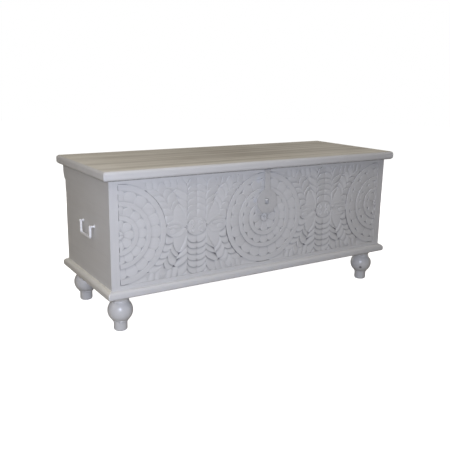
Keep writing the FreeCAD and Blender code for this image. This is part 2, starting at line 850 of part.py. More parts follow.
def staple():
    """A loop lying flat, with two legs driven through the panel."""
    arc_y = staple_tip + staple_bar_radius + staple_arc_radius
    center = point(0, arc_y, staple_z)
    right = center + X * staple_arc_radius
    left = center - X * staple_arc_radius
    leg = Y * (panel_back + staple_tail - arc_y)
    path = Part.Wire([
        Part.makeLine(right + leg, right),
        Part.Arc(right, center - Y * staple_arc_radius, left).toShape(),
        Part.makeLine(left, left + leg),
    ])
    section = Part.Wire(Part.makeCircle(staple_bar_radius, right + leg, Y))
    return path.makePipeShell([section], True, False)


# Bail handle: posts with ball heads, and the bail hung in them, for the left end
def handle_post(y):
    ball = point(left_face - handle_standoff, y, handle_z)
    flange = rod(point(left_face, y, handle_z), -X, post_flange_radius, post_flange_thickness)
    stem = rod(point(left_face, y, handle_z), -X, post_stem_radius, handle_standoff)
    tang_length = end_board + nut_thickness + nut_gap
    tang = rod(point(left_face, y, handle_z), X, post_tang_radius, tang_length)
    post = flange.fuse([stem, Part.makeSphere(post_ball_radius, ball), tang])
    bore = rod(ball - Y * (post_ball_radius + overrun), Y, bail_pin_radius + pin_clearance,
               2 * (post_ball_radius + overrun))
    return post.cut(bore).removeSplitter()


def post_nut(y):
    radius = nut_across_corners / 2
    turns = [2 * math.pi * number / nut_sides for number in range(nut_sides + 1)]
    corners = [point(left_face + end_board, y + radius * math.cos(turn), handle_z + radius * math.sin(turn))
               for turn in turns]
    nut = Part.Face(Part.makePolygon(corners)).extrude(X * nut_thickness)
    return nut.cut(rod(point(left_face, y, handle_z), X, post_tang_radius + screw_clearance,
                       end_board + nut_thickness + overrun))


def bail():
    x = left_face - handle_standoff
    low = handle_z - bail_drop
    inner = bail_bend * (1 - math.sqrt(0.5))
    back, front = handle_y + bail_arm_offset, handle_y - bail_arm_offset
    top_back, top_front = point(x, back, handle_z), point(x, front, handle_z)
    bend_back = (point(x, back, low + bail_bend), point(x, back - inner, low + inner),
                 point(x, back - bail_bend, low))
    bend_front = (point(x, front + bail_bend, low), point(x, front + inner, low + inner),
                  point(x, front, low + bail_bend))
    path = Part.Wire([
        Part.makeLine(top_back, bend_back[0]),
        Part.Arc(*bend_back).toShape(),
        Part.makeLine(bend_back[2], bend_front[0]),
        Part.Arc(*bend_front).toShape(),
        Part.makeLine(bend_front[2], top_front),
    ])
    section = Part.Wire(Part.makeCircle(bail_bar_radius, top_back, Z))
    bar = path.makePipeShell([section], True, False)
    reach = post_offset + post_ball_radius - bail_arm_offset
    ends = [Part.makeSphere(bail_bar_radius, top_back), Part.makeSphere(bail_bar_radius, top_front),
            rod(top_back, Y, bail_pin_radius, reach), rod(top_front, -Y, bail_pin_radius, reach)]
    return bar.fuse(ends).removeSplitter()


# Carcass
save("carved_front_panel", carved_panel())
save("front_left_stile", front_stile())
save("front_right_stile", mirrored_x(front_stile()))
save("front_top_rail", front_rail(panel_top, body_top, panel_top - overrun, panel_top + groove_depth))
save("front_bottom_rail", cut_base_screws(
    front_rail(base_top, panel_bottom, panel_bottom - groove_depth, panel_bottom + overrun)))
save("left_side_panel", cut_base_screws(side_panel()))
save("right_side_panel", cut_base_screws(mirrored_x(side_panel())))
save("back_panel", cut_base_screws(back_panel()))
save("floor_board", inner_floor())
for end, turned in ends:
    save(f"corner_post_front_{end}", turned(corner_post(True)))
    save(f"corner_post_back_{end}", turned(corner_post(False)))

# Base and feet
for name, member in base_members().items():
    save(name, member)
foot = turned_foot()
for name, (x, y) in foot_places().items():
    save(f"foot_{name}", foot.translated(point(x, y, 0)))
save("base_screws", *[wood_screw(head, Z, base_screw_length) for head in base_screws])

# Hinge rail and hinges
save("hinge_rail", hinge_rail())
save("hinge_rail_screws", *[wood_screw(head, -Y, rail_screw_length) for head in rail_screws])
for end, center in zip(("left", "right"), hinge_centers()):
    save(f"{end}_hinge_lower_leaf", lower_leaf(center))
    save(f"{end}_hinge_upper_leaf", upper_leaf(center))
    save(f"{end}_hinge_pin", hinge_pin(center))
hinge_places = [p for center in hinge_centers() for p in hinge_screw_places(center)]
lower_screw_face = body_top - hinge_pocket_depth + leaf_thickness
upper_screw_face = body_top - leaf_thickness
save("hinge_lower_screws", *[small_screw(point(p.x, p.y, lower_screw_face), -Z) for p in hinge_places])
save("hinge_upper_screws", *[small_screw(point(p.x, p.y, upper_screw_face), Z) for p in hinge_places])

# Lid
for name, plank in zip(("lid_front_plank", "lid_middle_plank", "lid_back_plank"), lid_plank_solids()):
    save(name, plank)
save("lid_left_cleat", lid_cleat(-cleat_offset))
save("lid_right_cleat", lid_cleat(cleat_offset))
save("lid_cleat_screws", *[wood_screw(head, Z, cleat_screw_length) for head in cleat_screws])

# Hasp and staple
save("hasp", hasp())
save("hasp_hinge_plate", hasp_plate())
save("hasp_hinge_pin", hasp_pin())
save("hasp_hinge_screws", *[small_screw(head, Z) for head in hasp_screw_heads()])
save("front_staple", staple())

# Handles
post_places = (handle_y - post_offset, handle_y + post_offset)
for end, turned in ends:
    save(f"{end}_bail", turned(bail()))
    save(f"{end}_handle_nuts", *[turned(post_nut(y)) for y in post_places])
for place, y in zip(("front", "back"), post_places):
    save(f"left_handle_{place}_post", handle_post(y))
    save(f"right_handle_{place}_post", half_turned(handle_post(-y)))

print("length", 2 * (right_face + lid_end_overhang), "height", lid_top)
print("depth", hinge_axis_y + knuckle_radius - (front_face - lid_front_overhang))
print("lid hinge axis", hinge_axis_y, hinge_axis_z)
print("hasp axis", hasp_axis_y, hasp_axis_z)
print("bail axis", left_face - handle_standoff, handle_z)
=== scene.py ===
"""Looks of a carved wooden chest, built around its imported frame, in metres."""

import json
import logging
import math
from collections.abc import Callable, Iterable
from dataclasses import dataclass
from enum import Enum
from typing import NamedTuple

import bmesh
import bpy
from mathutils import Matrix, Vector


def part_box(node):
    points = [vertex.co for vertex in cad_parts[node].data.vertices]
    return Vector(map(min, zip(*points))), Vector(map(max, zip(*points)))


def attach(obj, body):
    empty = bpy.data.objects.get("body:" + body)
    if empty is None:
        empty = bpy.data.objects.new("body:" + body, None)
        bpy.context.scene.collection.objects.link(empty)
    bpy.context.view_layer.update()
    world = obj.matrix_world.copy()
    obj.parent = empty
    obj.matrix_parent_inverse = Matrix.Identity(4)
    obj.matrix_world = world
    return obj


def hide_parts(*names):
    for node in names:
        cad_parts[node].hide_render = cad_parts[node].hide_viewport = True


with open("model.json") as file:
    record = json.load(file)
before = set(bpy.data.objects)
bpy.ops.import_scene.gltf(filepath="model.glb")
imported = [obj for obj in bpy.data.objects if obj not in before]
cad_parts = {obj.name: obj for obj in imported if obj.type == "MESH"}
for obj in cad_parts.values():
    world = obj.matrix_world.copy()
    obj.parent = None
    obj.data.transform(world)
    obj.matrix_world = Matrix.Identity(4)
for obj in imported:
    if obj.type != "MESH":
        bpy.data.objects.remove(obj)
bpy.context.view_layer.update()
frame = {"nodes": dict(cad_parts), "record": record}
MM = 0.001
HAIR = 0.02 * MM
TOUCH = 0.001 * MM
FULL_TURN = 2 * math.pi
TURN_SLACK = 0.001
WHITE = (1.0, 1.0, 1.0, 1.0)
LOG = logging.getLogger("chest")
# Name of the value that darkens hollows with grime and painted shade.
HOLLOW = "hollow"

Point = tuple[float, float]
Triple = tuple[float, float, float]
Colour = tuple[float, float, float]
Socket = bpy.types.NodeSocket
Node = bpy.types.Node
Material = bpy.types.Material
Shape = bmesh.types.BMesh
Surface = Callable[[float, float], Triple]


class Grain(Enum):
    """Direction in which the wood's grain runs, as the pattern's scale along X, Y and Z."""

    LENGTHWAYS = (0.05, 1.0, 1.0)
    ACROSS = (1.0, 0.05, 1.0)
    UPRIGHT = (1.0, 1.0, 0.05)
    TURNED = (0.02, 0.02, 1.0)


class Side(Enum):
    """The two ends of the chest, and the direction in which each one faces along X."""

    LEFT = -1
    RIGHT = 1

    @property
    def word(self) -> str:
        """Return the end's name as the nodes use it."""
        return self.name.lower()


@dataclass(frozen=True)
class Mottle:
    """A noise pattern, and how strongly a second tone comes in over a part of its range."""

    scale: float
    detail: float
    roughness: float
    span: Point = (0.0, 1.0)
    share: float = 1.0


RINGS = Mottle(60.0, 5.0, 0.65, (0.40, 0.64), 0.75)
GLOSS_SPAN = (0.3, 0.7)


@dataclass(frozen=True)
class NodeBench:
    """A material's node tree and the few steps that every finish needs."""

    tree: bpy.types.NodeTree

    def add(self, kind: str, **settings: object) -> Node:
        """Add one node.

        Args:
            kind: the node's type without its ShaderNode prefix.
            settings: properties of the node, by name.

        Returns:
            The new node.
        """
        node = self.tree.nodes.new("ShaderNode" + kind)
        for name, value in settings.items():
            setattr(node, name, value)
        return node

    def join(self, source: Socket, target: Socket) -> None:
        """Link one socket to another."""
        self.tree.links.new(source, target)

    def place(self, scale: Iterable[float] = (1.0, 1.0, 1.0),
              shift: Iterable[float] = (0.0, 0.0, 0.0)) -> Socket:
        """Return the object's own coordinates, stretched and then shifted.

        Args:
            scale: stretch along each axis.
            shift: shift along each axis.

        Returns:
            The socket of the coordinates.
        """
        where = self.add("TexCoord")
        stretch = self.add("Mapping")
        stretch.inputs["Scale"].default_value = tuple(scale)
        stretch.inputs["Location"].default_value = tuple(shift)
        self.join(where.outputs["Object"], stretch.inputs["Vector"])
        return stretch.outputs["Vector"]

    def axes(self, where: Socket) -> list[Socket]:
        """Return the three parts of a vector.

        Args:
            where: the vector.

        Returns:
            The sockets of its X, Y and Z.
        """
        node = self.add("SeparateXYZ")
        self.join(where, node.inputs["Vector"])
        return list(node.outputs)

    def math(self, operation: str, first: Socket, second: Socket | float = 0.0) -> Socket:
        """Return the outcome of one sum.

        Args:
            operation: the sum's name.
            first: its first value.
            second: its second value, where it has one.

        Returns:
            The socket of the outcome.
        """
        node = self.add("Math", operation=operation)
        self.join(first, node.inputs[0])
        if isinstance(second, float):
            node.inputs[1].default_value = second
        else:
            self.join(second, node.inputs[1])
        return node.outputs[0]

    def distance(self, value: Socket, level: float) -> Socket:
        """Return how far a value lies from a level."""
        return self.math("ABSOLUTE", self.math("SUBTRACT", value, level))

    def noise(self, where: Socket, pattern: Mottle) -> Socket:
        """Return a noise value.

        Args:
            where: the coordinates.
            pattern: the noise's features in a metre, its octaves and their strength.

        Returns:
            The socket of the noise value.
        """
        node = self.add("TexNoise")
        node.inputs["Scale"].default_value = pattern.scale
        node.inputs["Detail"].default_value = pattern.detail
        node.inputs["Roughness"].default_value = pattern.roughness
        self.join(where, node.inputs["Vector"])
        return node.outputs["Fac"]

    def ranged(self, value: Socket, old: Point, new: Point) -> Socket:
        """Return a value moved from one range to another and kept in it.

        Args:
            value: the value.
            old: lowest and highest value before.
            new: what they become.

        Returns:
            The socket of the moved value.
        """
        node = self.add("MapRange")
        for name, number in zip(("From Min", "From Max", "To Min", "To Max"), (*old, *new)):
            node.inputs[name].default_value = number
        self.join(value, node.inputs["Value"])
        return node.outputs["Result"]

    def tinted(self, base: Socket | Colour, other: Socket | Colour, share: Socket) -> Socket:
        """Return a colour mixed with another one.

        Args:
            base: the colour where the share is 0.
            other: the colour where the share is 1.
            share: the varying share.

        Returns:
            The socket of the mixed colour.
        """
        node = self.add("Mix", data_type="RGBA")
        slots = {socket.name: socket for socket in node.inputs if socket.type == "RGBA"}
        for name, colour in (("A", base), ("B", other)):
            if isinstance(colour, tuple):
                slots[name].default_value = (*colour, 1.0)
            else:
                self.join(colour, slots[name])
        self.join(share, node.inputs["Factor"])
        return next(socket for socket in node.outputs if socket.type == "RGBA")

    def mottled(self, base: Socket | Colour, other: Socket | Colour, value: Socket,
                pattern: Mottle) -> Socket:
        """Return a colour in which a second one comes in where a noise value is high."""
        return self.tinted(base, other, self.ranged(value, pattern.span, (0.0, pattern.share)))

    def summed(self, first: Socket, second: Socket, weight: float) -> Socket:
        """Return the first value with a weighted second one added.

        Args:
            first: the first value.
            second: the second value.
            weight: what the second value is multiplied by.

        Returns:
            The socket of the sum.
        """
        node = self.add("Math", operation="MULTIPLY_ADD")
        node.inputs[1].default_value = weight
        self.join(second, node.inputs[0])
        self.join(first, node.inputs[2])
        return node.outputs[0]

    def dull(self, shader: Node, value: Socket, roughness: float, spread: Point) -> None:
        """Vary a shader's roughness.

        Args:
            shader: the surface shader.
            value: the noise value that it follows.
            roughness: the middle roughness.
            spread: what is added to it where the noise is low and where it is high.
        """
        low, high = spread
        dulled = self.ranged(value, GLOSS_SPAN, (roughness + low, roughness + high))
        self.join(dulled, shader.inputs["Roughness"])

    def emboss(self, shader: Node, height: Socket, depth: float, strength: float) -> None:
        """Raise a fine relief on a surface.

        Args:
            shader: the surface shader.
            height: the relief.
            depth: height of the relief in metres.
            strength: share of it that shows.
        """
        bump = self.add("Bump")
        bump.inputs["Distance"].default_value = depth
        bump.inputs["Strength"].default_value = strength
        self.join(height, bump.inputs["Height"])
        self.join(bump.outputs["Normal"], shader.inputs["Normal"])

    def split(self, lit: Socket, seen: Socket, surface: Socket) -> None:
        """Let one shader light the chest and show another one to the camera.

        Args:
            lit: the shader that lights.
            seen: the shader that is seen.
            surface: the socket that they are for.
        """
        path = self.add("LightPath")
        blend = self.add("MixShader")
        self.join(path.outputs["Is Camera Ray"], blend.inputs["Fac"])
        self.join(lit, blend.inputs[1])
        self.join(seen, blend.inputs[2])
        self.join(blend.outputs["Shader"], surface)


def new_bench(name: str) -> tuple[Material, NodeBench, Node]:
    """Start a material.

    Args:
        name: the material's name.

    Returns:
        The material, its bench and its surface shader node.
    """
    material = bpy.data.materials.new(name)
    material.use_nodes = True
    bench = NodeBench(material.node_tree)
    shader = next(node for node in material.node_tree.nodes if node.type == "BSDF_PRINCIPLED")
    return material, bench, shader


@dataclass(frozen=True)
class TopFaceLayer:
    """A board's upper face in another tone: on the lid, paint rubbed thin with the streaky wood under it
    showing through; on the base ends, a pale painted highlight where light falls from above.
    """

    level: float
    seams: tuple[float, ...] = ()
    tone: Colour = (0.77, 0.745, 0.68)
    streak_tone: Colour = (0.31, 0.275, 0.22)
    pale_tone: Colour = (0.80, 0.78, 0.73)
    worn_tone: Colour = (0.25, 0.22, 0.175)
    worn_middle: float = 0.05
    worn_reach: Point = (0.55, 0.22)
    worn_edge: Point = (0.1, 1.2)
    worn_share: float = 0.88
    worn_streak: tuple[Point, Point] = ((0.36, 0.60), (0.45, 1.0))
    seam_width: Point = (0.8 * MM, 1.8 * MM)
    seam_share: float = 0.4
    fade: float = 1.6 * MM
    long_stretch: Triple = (0.02, 1.0, 1.0)
    cloud_stretch: Triple = (0.6, 1.0, 1.0)
    long_streak: Mottle = Mottle(34.0, 4.0, 0.6, (0.44, 0.66), 0.55)
    fine_streak: Mottle = Mottle(210.0, 5.0, 0.65, (0.48, 0.72), 0.5)
    cloud: Mottle = Mottle(4.5, 3.0, 0.5, (0.48, 0.72), 0.55)

    def over(self, bench: NodeBench, colour: Socket) -> Socket:
        """Lay the upper face's tone over a paint.

        Args:
            bench: the paint's bench.
            colour: the paint's colour.

        Returns:
            The socket of the colour with the upper face's tone in it.
        """
        streak = bench.noise(bench.place(self.long_stretch), self.long_streak)
        fine = bench.noise(bench.place(Grain.LENGTHWAYS.value), self.fine_streak)
        cloud = bench.noise(bench.place(self.cloud_stretch), self.cloud)
        top_face = bench.mottled(self.tone, self.streak_tone, streak, self.long_streak)
        top_face = bench.mottled(top_face, self.streak_tone, fine, self.fine_streak)
        top_face = bench.mottled(top_face, self.pale_tone, cloud, self.cloud)
        top_face = bench.tinted(top_face, self.worn_tone, self.worn(bench, streak))
        _, depth, height = bench.axes(bench.place())
        for seam in self.seams:
            share = bench.ranged(bench.distance(depth, seam), self.seam_width, (self.seam_share, 0.0))
            top_face = bench.tinted(top_face, self.worn_tone, share)
        on_top = bench.ranged(height, (self.level - self.fade, self.level), (0.0, 1.0))
        return bench.tinted(colour, top_face, on_top)

    def worn(self, bench: NodeBench, streak: Socket) -> Socket:
        """Return how worn the face is, most in its middle and along its streaks.

        Args:
            bench: the paint's bench.
            streak: noise value of the long streaks.

        Returns:
            The socket of the share.
        """
        wide, deep = self.worn_reach
        away = bench.add("VectorMath", operation="LENGTH")
        around = bench.place((1 / wide, 1 / deep, 0.0), (-self.worn_middle / wide, 0.0, 0.0))
        bench.join(around, away.inputs[0])
        share = bench.ranged(away.outputs["Value"], self.worn_edge, (self.worn_share, 0.0))
        return bench.math("MULTIPLY", share, bench.ranged(streak, *self.worn_streak))


@dataclass(frozen=True)
class BareInside:
    """The room in the chest, whose walls were left unpainted."""

    low: Vector
    high: Vector
    tone: Colour = (0.50, 0.36, 0.22)
    ring_tone: Colour = (0.32, 0.21, 0.12)

    def over(self, bench: NodeBench, colour: Socket) -> Socket:
        """Put bare wood in a paint's place on the walls of the room.

        Args:
            bench: the paint's bench.
            colour: the paint's colour.

        Returns:
            The socket of the colour with the bare wood in it.
        """
        half = [(high - low) / 2 for low, high in zip(self.low, self.high)]
        shift = [-(high + low) / 2 / reach for low, high, reach in zip(self.low, self.high, half)]
        parts = bench.axes(bench.place([1 / reach for reach in half], shift))
        away = [bench.math("ABSOLUTE", part) for part in parts]
        farthest = bench.math("MAXIMUM", bench.math("MAXIMUM", away[0], away[1]), away[2])
        rings = bench.noise(bench.place(Grain.LENGTHWAYS.value), RINGS)
        wood = bench.mottled(self.tone, self.ring_tone, rings, RINGS)
        return bench.tinted(colour, wood, bench.math("LESS_THAN", farthest, 1.0))


@dataclass(frozen=True)
class Spot:
    """A small round spot in the paint: a dark knot that shows through, or a pale painted highlight."""

    at: Triple
    radius: float
    tone: Colour = (0.10, 0.09, 0.09)
    share: float = 0.85

    def over(self, bench: NodeBench, colour: Socket) -> Socket:
        """Put the spot in a paint.

        Args:
            bench: the paint's bench.
            colour: the paint's colour.

        Returns:
            The socket of the colour with the spot in it.
        """
        node = bench.add("VectorMath", operation="DISTANCE")
        bench.join(bench.place(), node.inputs[0])
        node.inputs[1].default_value = self.at
        share = bench.ranged(node.outputs["Value"], (self.radius / 2, self.radius), (self.share, 0.0))
        return bench.tinted(colour, self.tone, share)


@dataclass(frozen=True)
class LidShadowLine:
    """A thin, broken band of painted shadow along the joint where the lid comes down on the body, on the rail
    below it and on the lid's underside.
    """

    level: float
    width: float = 3.4 * MM
    tone: Colour = (0.10, 0.09, 0.10)
    share: float = 0.8
    breaks: Mottle = Mottle(160.0, 2.0, 0.5, (0.38, 0.55))
    thinnest: float = 0.35

    def over(self, bench: NodeBench, colour: Socket) -> Socket:
        """Put the line in a paint.

        Args:
            bench: the paint's bench.
            colour: the paint's colour.

        Returns:
            The socket of the colour with the line in it.
        """
        away = bench.distance(bench.axes(bench.place())[2], self.level)
        line = bench.ranged(away, (self.width / 2, self.width), (self.share, 0.0))
        broken = bench.ranged(bench.noise(bench.place(), self.breaks), self.breaks.span, (self.thinnest, 1.0))
        return bench.tinted(colour, self.tone, bench.math("MULTIPLY", line, broken))


@dataclass(frozen=True)
class BrushedPaint:
    """Satin paint brushed over wood: faint grain streaks, soft patches, and grime with painted shade in the
    hollows.
    """

    name: str
    tone: Colour
    streak_tone: Colour
    hollow_grime_and_shade_tone: Colour
    grain: Grain
    streaks: float = 0.35
    patches: float = 0.25
    relief: float = 0.25 * MM
    relief_share: float = 0.6
    relief_weights: Point = (0.25, 0.8)
    roughness: float = 0.48
    roughness_spread: Point = (-0.06, 0.08)
    coat: float = 0.06
    coat_roughness: float = 0.3
    layers: tuple[TopFaceLayer | BareInside | Spot | LidShadowLine, ...] = ()

    def material(self) -> Material:
        """Mix the finish.

        Returns:
            The new material.
        """
        streaks = Mottle(130.0, 6.0, 0.62, (0.42, 0.68), self.streaks)
        boards = Mottle(22.0, 3.0, 0.5, (0.45, 0.65), self.patches)
        patches = Mottle(7.0, 3.0, 0.55, (0.45, 0.70), self.patches)
        specks = Mottle(420.0, 2.0, 0.6)
        material, bench, shader = new_bench(self.name)
        along = bench.place(self.grain.value)
        square = bench.place()
        streak, board = (bench.noise(along, pattern) for pattern in (streaks, boards))
        patch, speck = (bench.noise(square, pattern) for pattern in (patches, specks))
        colour = self.tone
        for value, pattern in ((streak, streaks), (board, boards), (patch, patches)):
            colour = bench.mottled(colour, self.streak_tone, value, pattern)
        # The hollow value darkens the paint: grime with painted shade in recesses.
        hollow = bench.add("Attribute", attribute_name=HOLLOW)
        colour = bench.tinted(colour, self.hollow_grime_and_shade_tone, hollow.outputs["Fac"])
        for layer in self.layers:
            colour = layer.over(bench, colour)
        bench.join(colour, shader.inputs["Base Color"])
        bench.dull(shader, patch, self.roughness, self.roughness_spread)
        speck_weight, board_weight = self.relief_weights
        height = bench.summed(bench.summed(streak, speck, speck_weight), board, board_weight)
        bench.emboss(shader, height, self.relief, self.relief_share)
        shader.inputs["Coat Weight"].default_value = self.coat
        shader.inputs["Coat Roughness"].default_value = self.coat_roughness
        return material


@dataclass(frozen=True)
class BareWood:
    """Planed wood without paint: growth rings drawn out along the grain."""

    name: str
    tone: Colour
    ring_tone: Colour
    grain: Grain
    pores: Mottle = Mottle(700.0, 2.0, 0.5, (0.52, 0.72), 0.45)
    patches: Mottle = Mottle(5.0, 2.0, 0.5, (0.45, 0.7), 0.3)
    roughness: float = 0.62
    roughness_spread: Point = (-0.08, 0.08)
    relief: float = 0.3 * MM
    relief_share: float = 0.5
    pore_weight: float = 0.4

    def material(self) -> Material:
        """Mix the finish.

        Returns:
            The new material.
        """
        material, bench, shader = new_bench(self.name)
        along = bench.place(self.grain.value)
        rings = bench.noise(along, RINGS)
        pores = bench.noise(along, self.pores)
        patch = bench.noise(bench.place(), self.patches)
        colour = self.tone
        for value, pattern in ((rings, RINGS), (pores, self.pores), (patch, self.patches)):
            colour = bench.mottled(colour, self.ring_tone, value, pattern)
        bench.join(colour, shader.inputs["Base Color"])
        bench.dull(shader, rings, self.roughness, self.roughness_spread)
        bench.emboss(shader, bench.summed(rings, pores, self.pore_weight), self.relief, self.relief_share)
        return material


@dataclass(frozen=True)
class PaintedIron:
    """Forged iron under the same paint: slightly uneven, with duller worn patches."""

    name: str
    tone: Colour
    worn_tone: Colour
    hammering: Mottle = Mottle(90.0, 3.0, 0.5)
    grit: Mottle = Mottle(900.0, 2.0, 0.6)
    wear: Mottle = Mottle(35.0, 5.0, 0.7, (0.50, 0.70), 0.45)
    roughness: float = 0.36
    roughness_spread: Point = (-0.08, 0.1)
    relief: float = 0.4 * MM
    relief_share: float = 0.5
    grit_weight: float = 0.15
    coat: float = 0.25
    coat_roughness: float = 0.22

    def material(self) -> Material:
        """Mix the finish.

        Returns:
            The new material.
        """
        material, bench, shader = new_bench(self.name)
        square = bench.place()
        patterns = (self.hammering, self.grit, self.wear)
        hammered, grit, wear = (bench.noise(square, pattern) for pattern in patterns)
        colour = bench.mottled(self.tone, self.worn_tone, wear, self.wear)
        # The hollow value darkens the iron: grime with painted shade in recesses.
        hollow = bench.add("Attribute", attribute_name=HOLLOW)
        bench.join(bench.tinted(colour, self.worn_tone, hollow.outputs["Fac"]), shader.inputs["Base Color"])
        bench.dull(shader, hammered, self.roughness, self.roughness_spread)
        bench.emboss(shader, bench.summed(hammered, grit, self.grit_weight), self.relief, self.relief_share)
        shader.inputs["Coat Weight"].default_value = self.coat
        shader.inputs["Coat Roughness"].default_value = self.coat_roughness
        return material


@dataclass(frozen=True)
class ZincedSteel:
    """Bright zinc-plated steel of the screws and nuts."""

    name: str
    tone: Colour
    dull_tone: Colour
    spangle: Mottle = Mottle(600.0, 3.0, 0.6, (0.35, 0.65), 0.6)
    roughness: float = 0.39
    roughness_spread: Point = (-0.11, 0.11)

    def material(self) -> Material:
        """Mix the finish.

        Returns:
            The new material.
        """
        material, bench, shader = new_bench(self.name)
        spangle = bench.noise(bench.place(), self.spangle)
        colour = bench.mottled(self.tone, self.dull_tone, spangle, self.spangle)
        bench.join(colour, shader.inputs["Base Color"])
        bench.dull(shader, spangle, self.roughness, self.roughness_spread)
        shader.inputs["Metallic"].default_value = 1.0
        return material


def inner_room(gap: float = 1.5 * MM, lip: float = 0.2 * MM) -> tuple[Vector, Vector]:
    """Return the room in the chest, grown a little into its walls.

    Args:
        gap: growth into the walls.
        lip: growth into the floor and the lid.

    Returns:
        The lowest and the highest corner.
    """
    low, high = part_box("floor_board")
    lid_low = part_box("lid_front_plank")[0]
    grown = Vector((gap, gap, 0.0))
    return Vector((low.x, low.y, high.z - lip)) - grown, Vector((high.x, high.y, lid_low.z + lip)) + grown


def foot_knot(from_middle: float = -26 * MM, from_front: float = 14 * MM, height: float = 55 * MM,
              radius: float = 7 * MM) -> Spot:
    """Return the knot in the front right foot.

    Args:
        from_middle: its place across the foot.
        from_front: its depth in the foot.
        height: its height over the floor.
        radius: its radius.

    Returns:
        The knot.
    """
    low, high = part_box("foot_front_right")
    return Spot(((low.x + high.x) / 2 + from_middle, low.y + from_front, height), radius)


def hasp_side_highlights(tone: Colour = (0.64, 0.67, 0.74), share: float = 0.35) -> tuple[Spot, ...]:
    """Return the pale painted highlights on the carving beside the hasp.

    Args:
        tone: their colour.
        share: their strength.

    Returns:
        The touch-ups.
    """
    face_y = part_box("carved_front_panel")[0].y
    rows = ((-26 * MM, 446 * MM, 14 * MM), (-39 * MM, 376 * MM, 10 * MM))
    return tuple(Spot((across, face_y, height), radius, tone, share) for across, height, radius in rows)


@dataclass(frozen=True)
class Finishes:
    """Every finish on the chest, made once and shared by the pieces."""

    lid: Material
    boards: Material
    uprights: Material
    ends: Material
    base_ends: Material
    carving: Material
    feet: Material
    inside: Material
    posts: Material
    iron: Material
    bright_iron: Material
    steel: Material

    @classmethod
    def mixed(cls) -> "Finishes":
        """Mix all the finishes.

        Returns:
            The finishes.
        """
        # Dark tone of grime and painted shade in the hollows of the paint.
        grime_and_shade = (0.13, 0.125, 0.135)
        bare_tones = ((0.50, 0.36, 0.22), (0.30, 0.19, 0.10))
        bare = (BareInside(*inner_room()),)
        lid_low, lid_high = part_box("lid_front_plank")
        # Painted shadow under the lid's overhang, where the lid meets the body.
        lid_shadow_line = LidShadowLine(lid_low.z)
        top_face = TopFaceLayer(lid_high.z, (lid_high.y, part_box("lid_back_plank")[0].y))
        # Painted highlight: a pale cream tone over the upper faces of the base ends, where light falls from
        # above.
        base_top_highlight = TopFaceLayer(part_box("base_left")[1].z, tone=(0.80, 0.78, 0.71), streak_tone=(0.72, 0.70, 0.63),
                           pale_tone=(0.84, 0.82, 0.76), worn_share=0.0, fade=15 * MM)

        def paint(name: str, grain: Grain, **more: object) -> Material:
            """Return the chest's paint on one kind of board."""
            tones = ((0.60, 0.595, 0.585), (0.53, 0.52, 0.505), grime_and_shade)
            return BrushedPaint(name, *tones, grain, **more).material()

        return cls(
            lid=paint("lid_paint", Grain.LENGTHWAYS, relief=0.4 * MM, roughness=0.56, coat=0.0,
                      layers=(lid_shadow_line, *bare, top_face)),
            boards=paint("board_paint", Grain.LENGTHWAYS, layers=(lid_shadow_line, *bare)),
            uprights=paint("stile_paint", Grain.UPRIGHT, layers=(lid_shadow_line, *bare)),
            ends=paint("end_board_paint", Grain.ACROSS, streaks=0.3, layers=bare),
            # The base ends get their own, warmer paint, which carries the painted highlight on top.
            base_ends=BrushedPaint("base_end_paint", (0.60, 0.585, 0.55), (0.53, 0.515, 0.48), grime_and_shade,
                                   Grain.ACROSS, streaks=0.3, layers=(*bare, base_top_highlight)).material(),
            # The carving carries the painted highlights beside the hasp.
            carving=paint("carving_paint", Grain.LENGTHWAYS, streaks=0.25, relief=0.2 * MM,
                          layers=(*bare, *hasp_side_highlights())),
            feet=paint("turned_foot_paint", Grain.TURNED, streaks=0.2, relief=0.12 * MM, roughness=0.3,
                       coat=0.12, layers=(foot_knot(),)),
            inside=BareWood("planed_wood", *bare_tones, Grain.LENGTHWAYS).material(),
            posts=BareWood("planed_post_wood", *bare_tones, Grain.UPRIGHT).material(),
            iron=PaintedIron("painted_iron", (0.52, 0.515, 0.505), (0.38, 0.37, 0.365)).material(),
            # Painted highlight: a much lighter copy of the painted iron for the bails, their pins and the
            # staple, standing in for the light they catch.
            bright_iron=PaintedIron("painted_iron_with_painted_highlight", (0.82, 0.82, 0.82), (0.62, 0.61, 0.60)).material(),
            steel=ZincedSteel("zinced_steel", (0.62, 0.61, 0.58), (0.42, 0.42, 0.42)).material(),
        )

    def of(self, node: str, slot: str) -> Material:
        """Return the finish of one of the frame's nodes.

        Args:
            node: the node's name.
            slot: its material slot in the record.

        Returns:
            The finish.
        """
        by_start = {"lid_front_plank": self.lid, "lid_middle_plank": self.lid, "lid_back_plank": self.lid,
                    "left_side_panel": self.ends, "right_side_panel": self.ends,
                    "base_left": self.base_ends, "base_right": self.base_ends,
                    "front_left_stile": self.uprights, "front_right_stile": self.uprights,
                    "foot_": self.feet, "corner_post": self.posts, "front_staple": self.bright_iron,
                    "left_bail": self.bright_iron, "right_bail": self.bright_iron}
        by_slot = {"painted_wood": self.boards, "bare_wood": self.inside, "painted_iron": self.iron,
                   "screw_steel": self.steel}
        # Handle pins get the iron with the painted highlight.
        if "_handle_" in node and node.endswith("_post"):
            return self.bright_iron
        return next((finish for start, finish in by_start.items() if node.startswith(start)), by_slot[slot])


@dataclass(frozen=True)
class Fitted:
    """How a finished piece belongs to the chest."""

    body: str
    slot: str
    replaces: tuple[str, ...] = ()


ON_FRONT = Fitted("carcass", "painted_wood", ("carved_front_panel",))


def linked(name: str, data: bpy.types.ID) -> bpy.types.Object:
    """Put a new object into the scene.

    Args:
        name: the object's name.
        data: its mesh, light or camera.

    Returns:
        The new object.
    """
    thing = bpy.data.objects.new(name, data)
    bpy.context.scene.collection.objects.link(thing)
    return thing


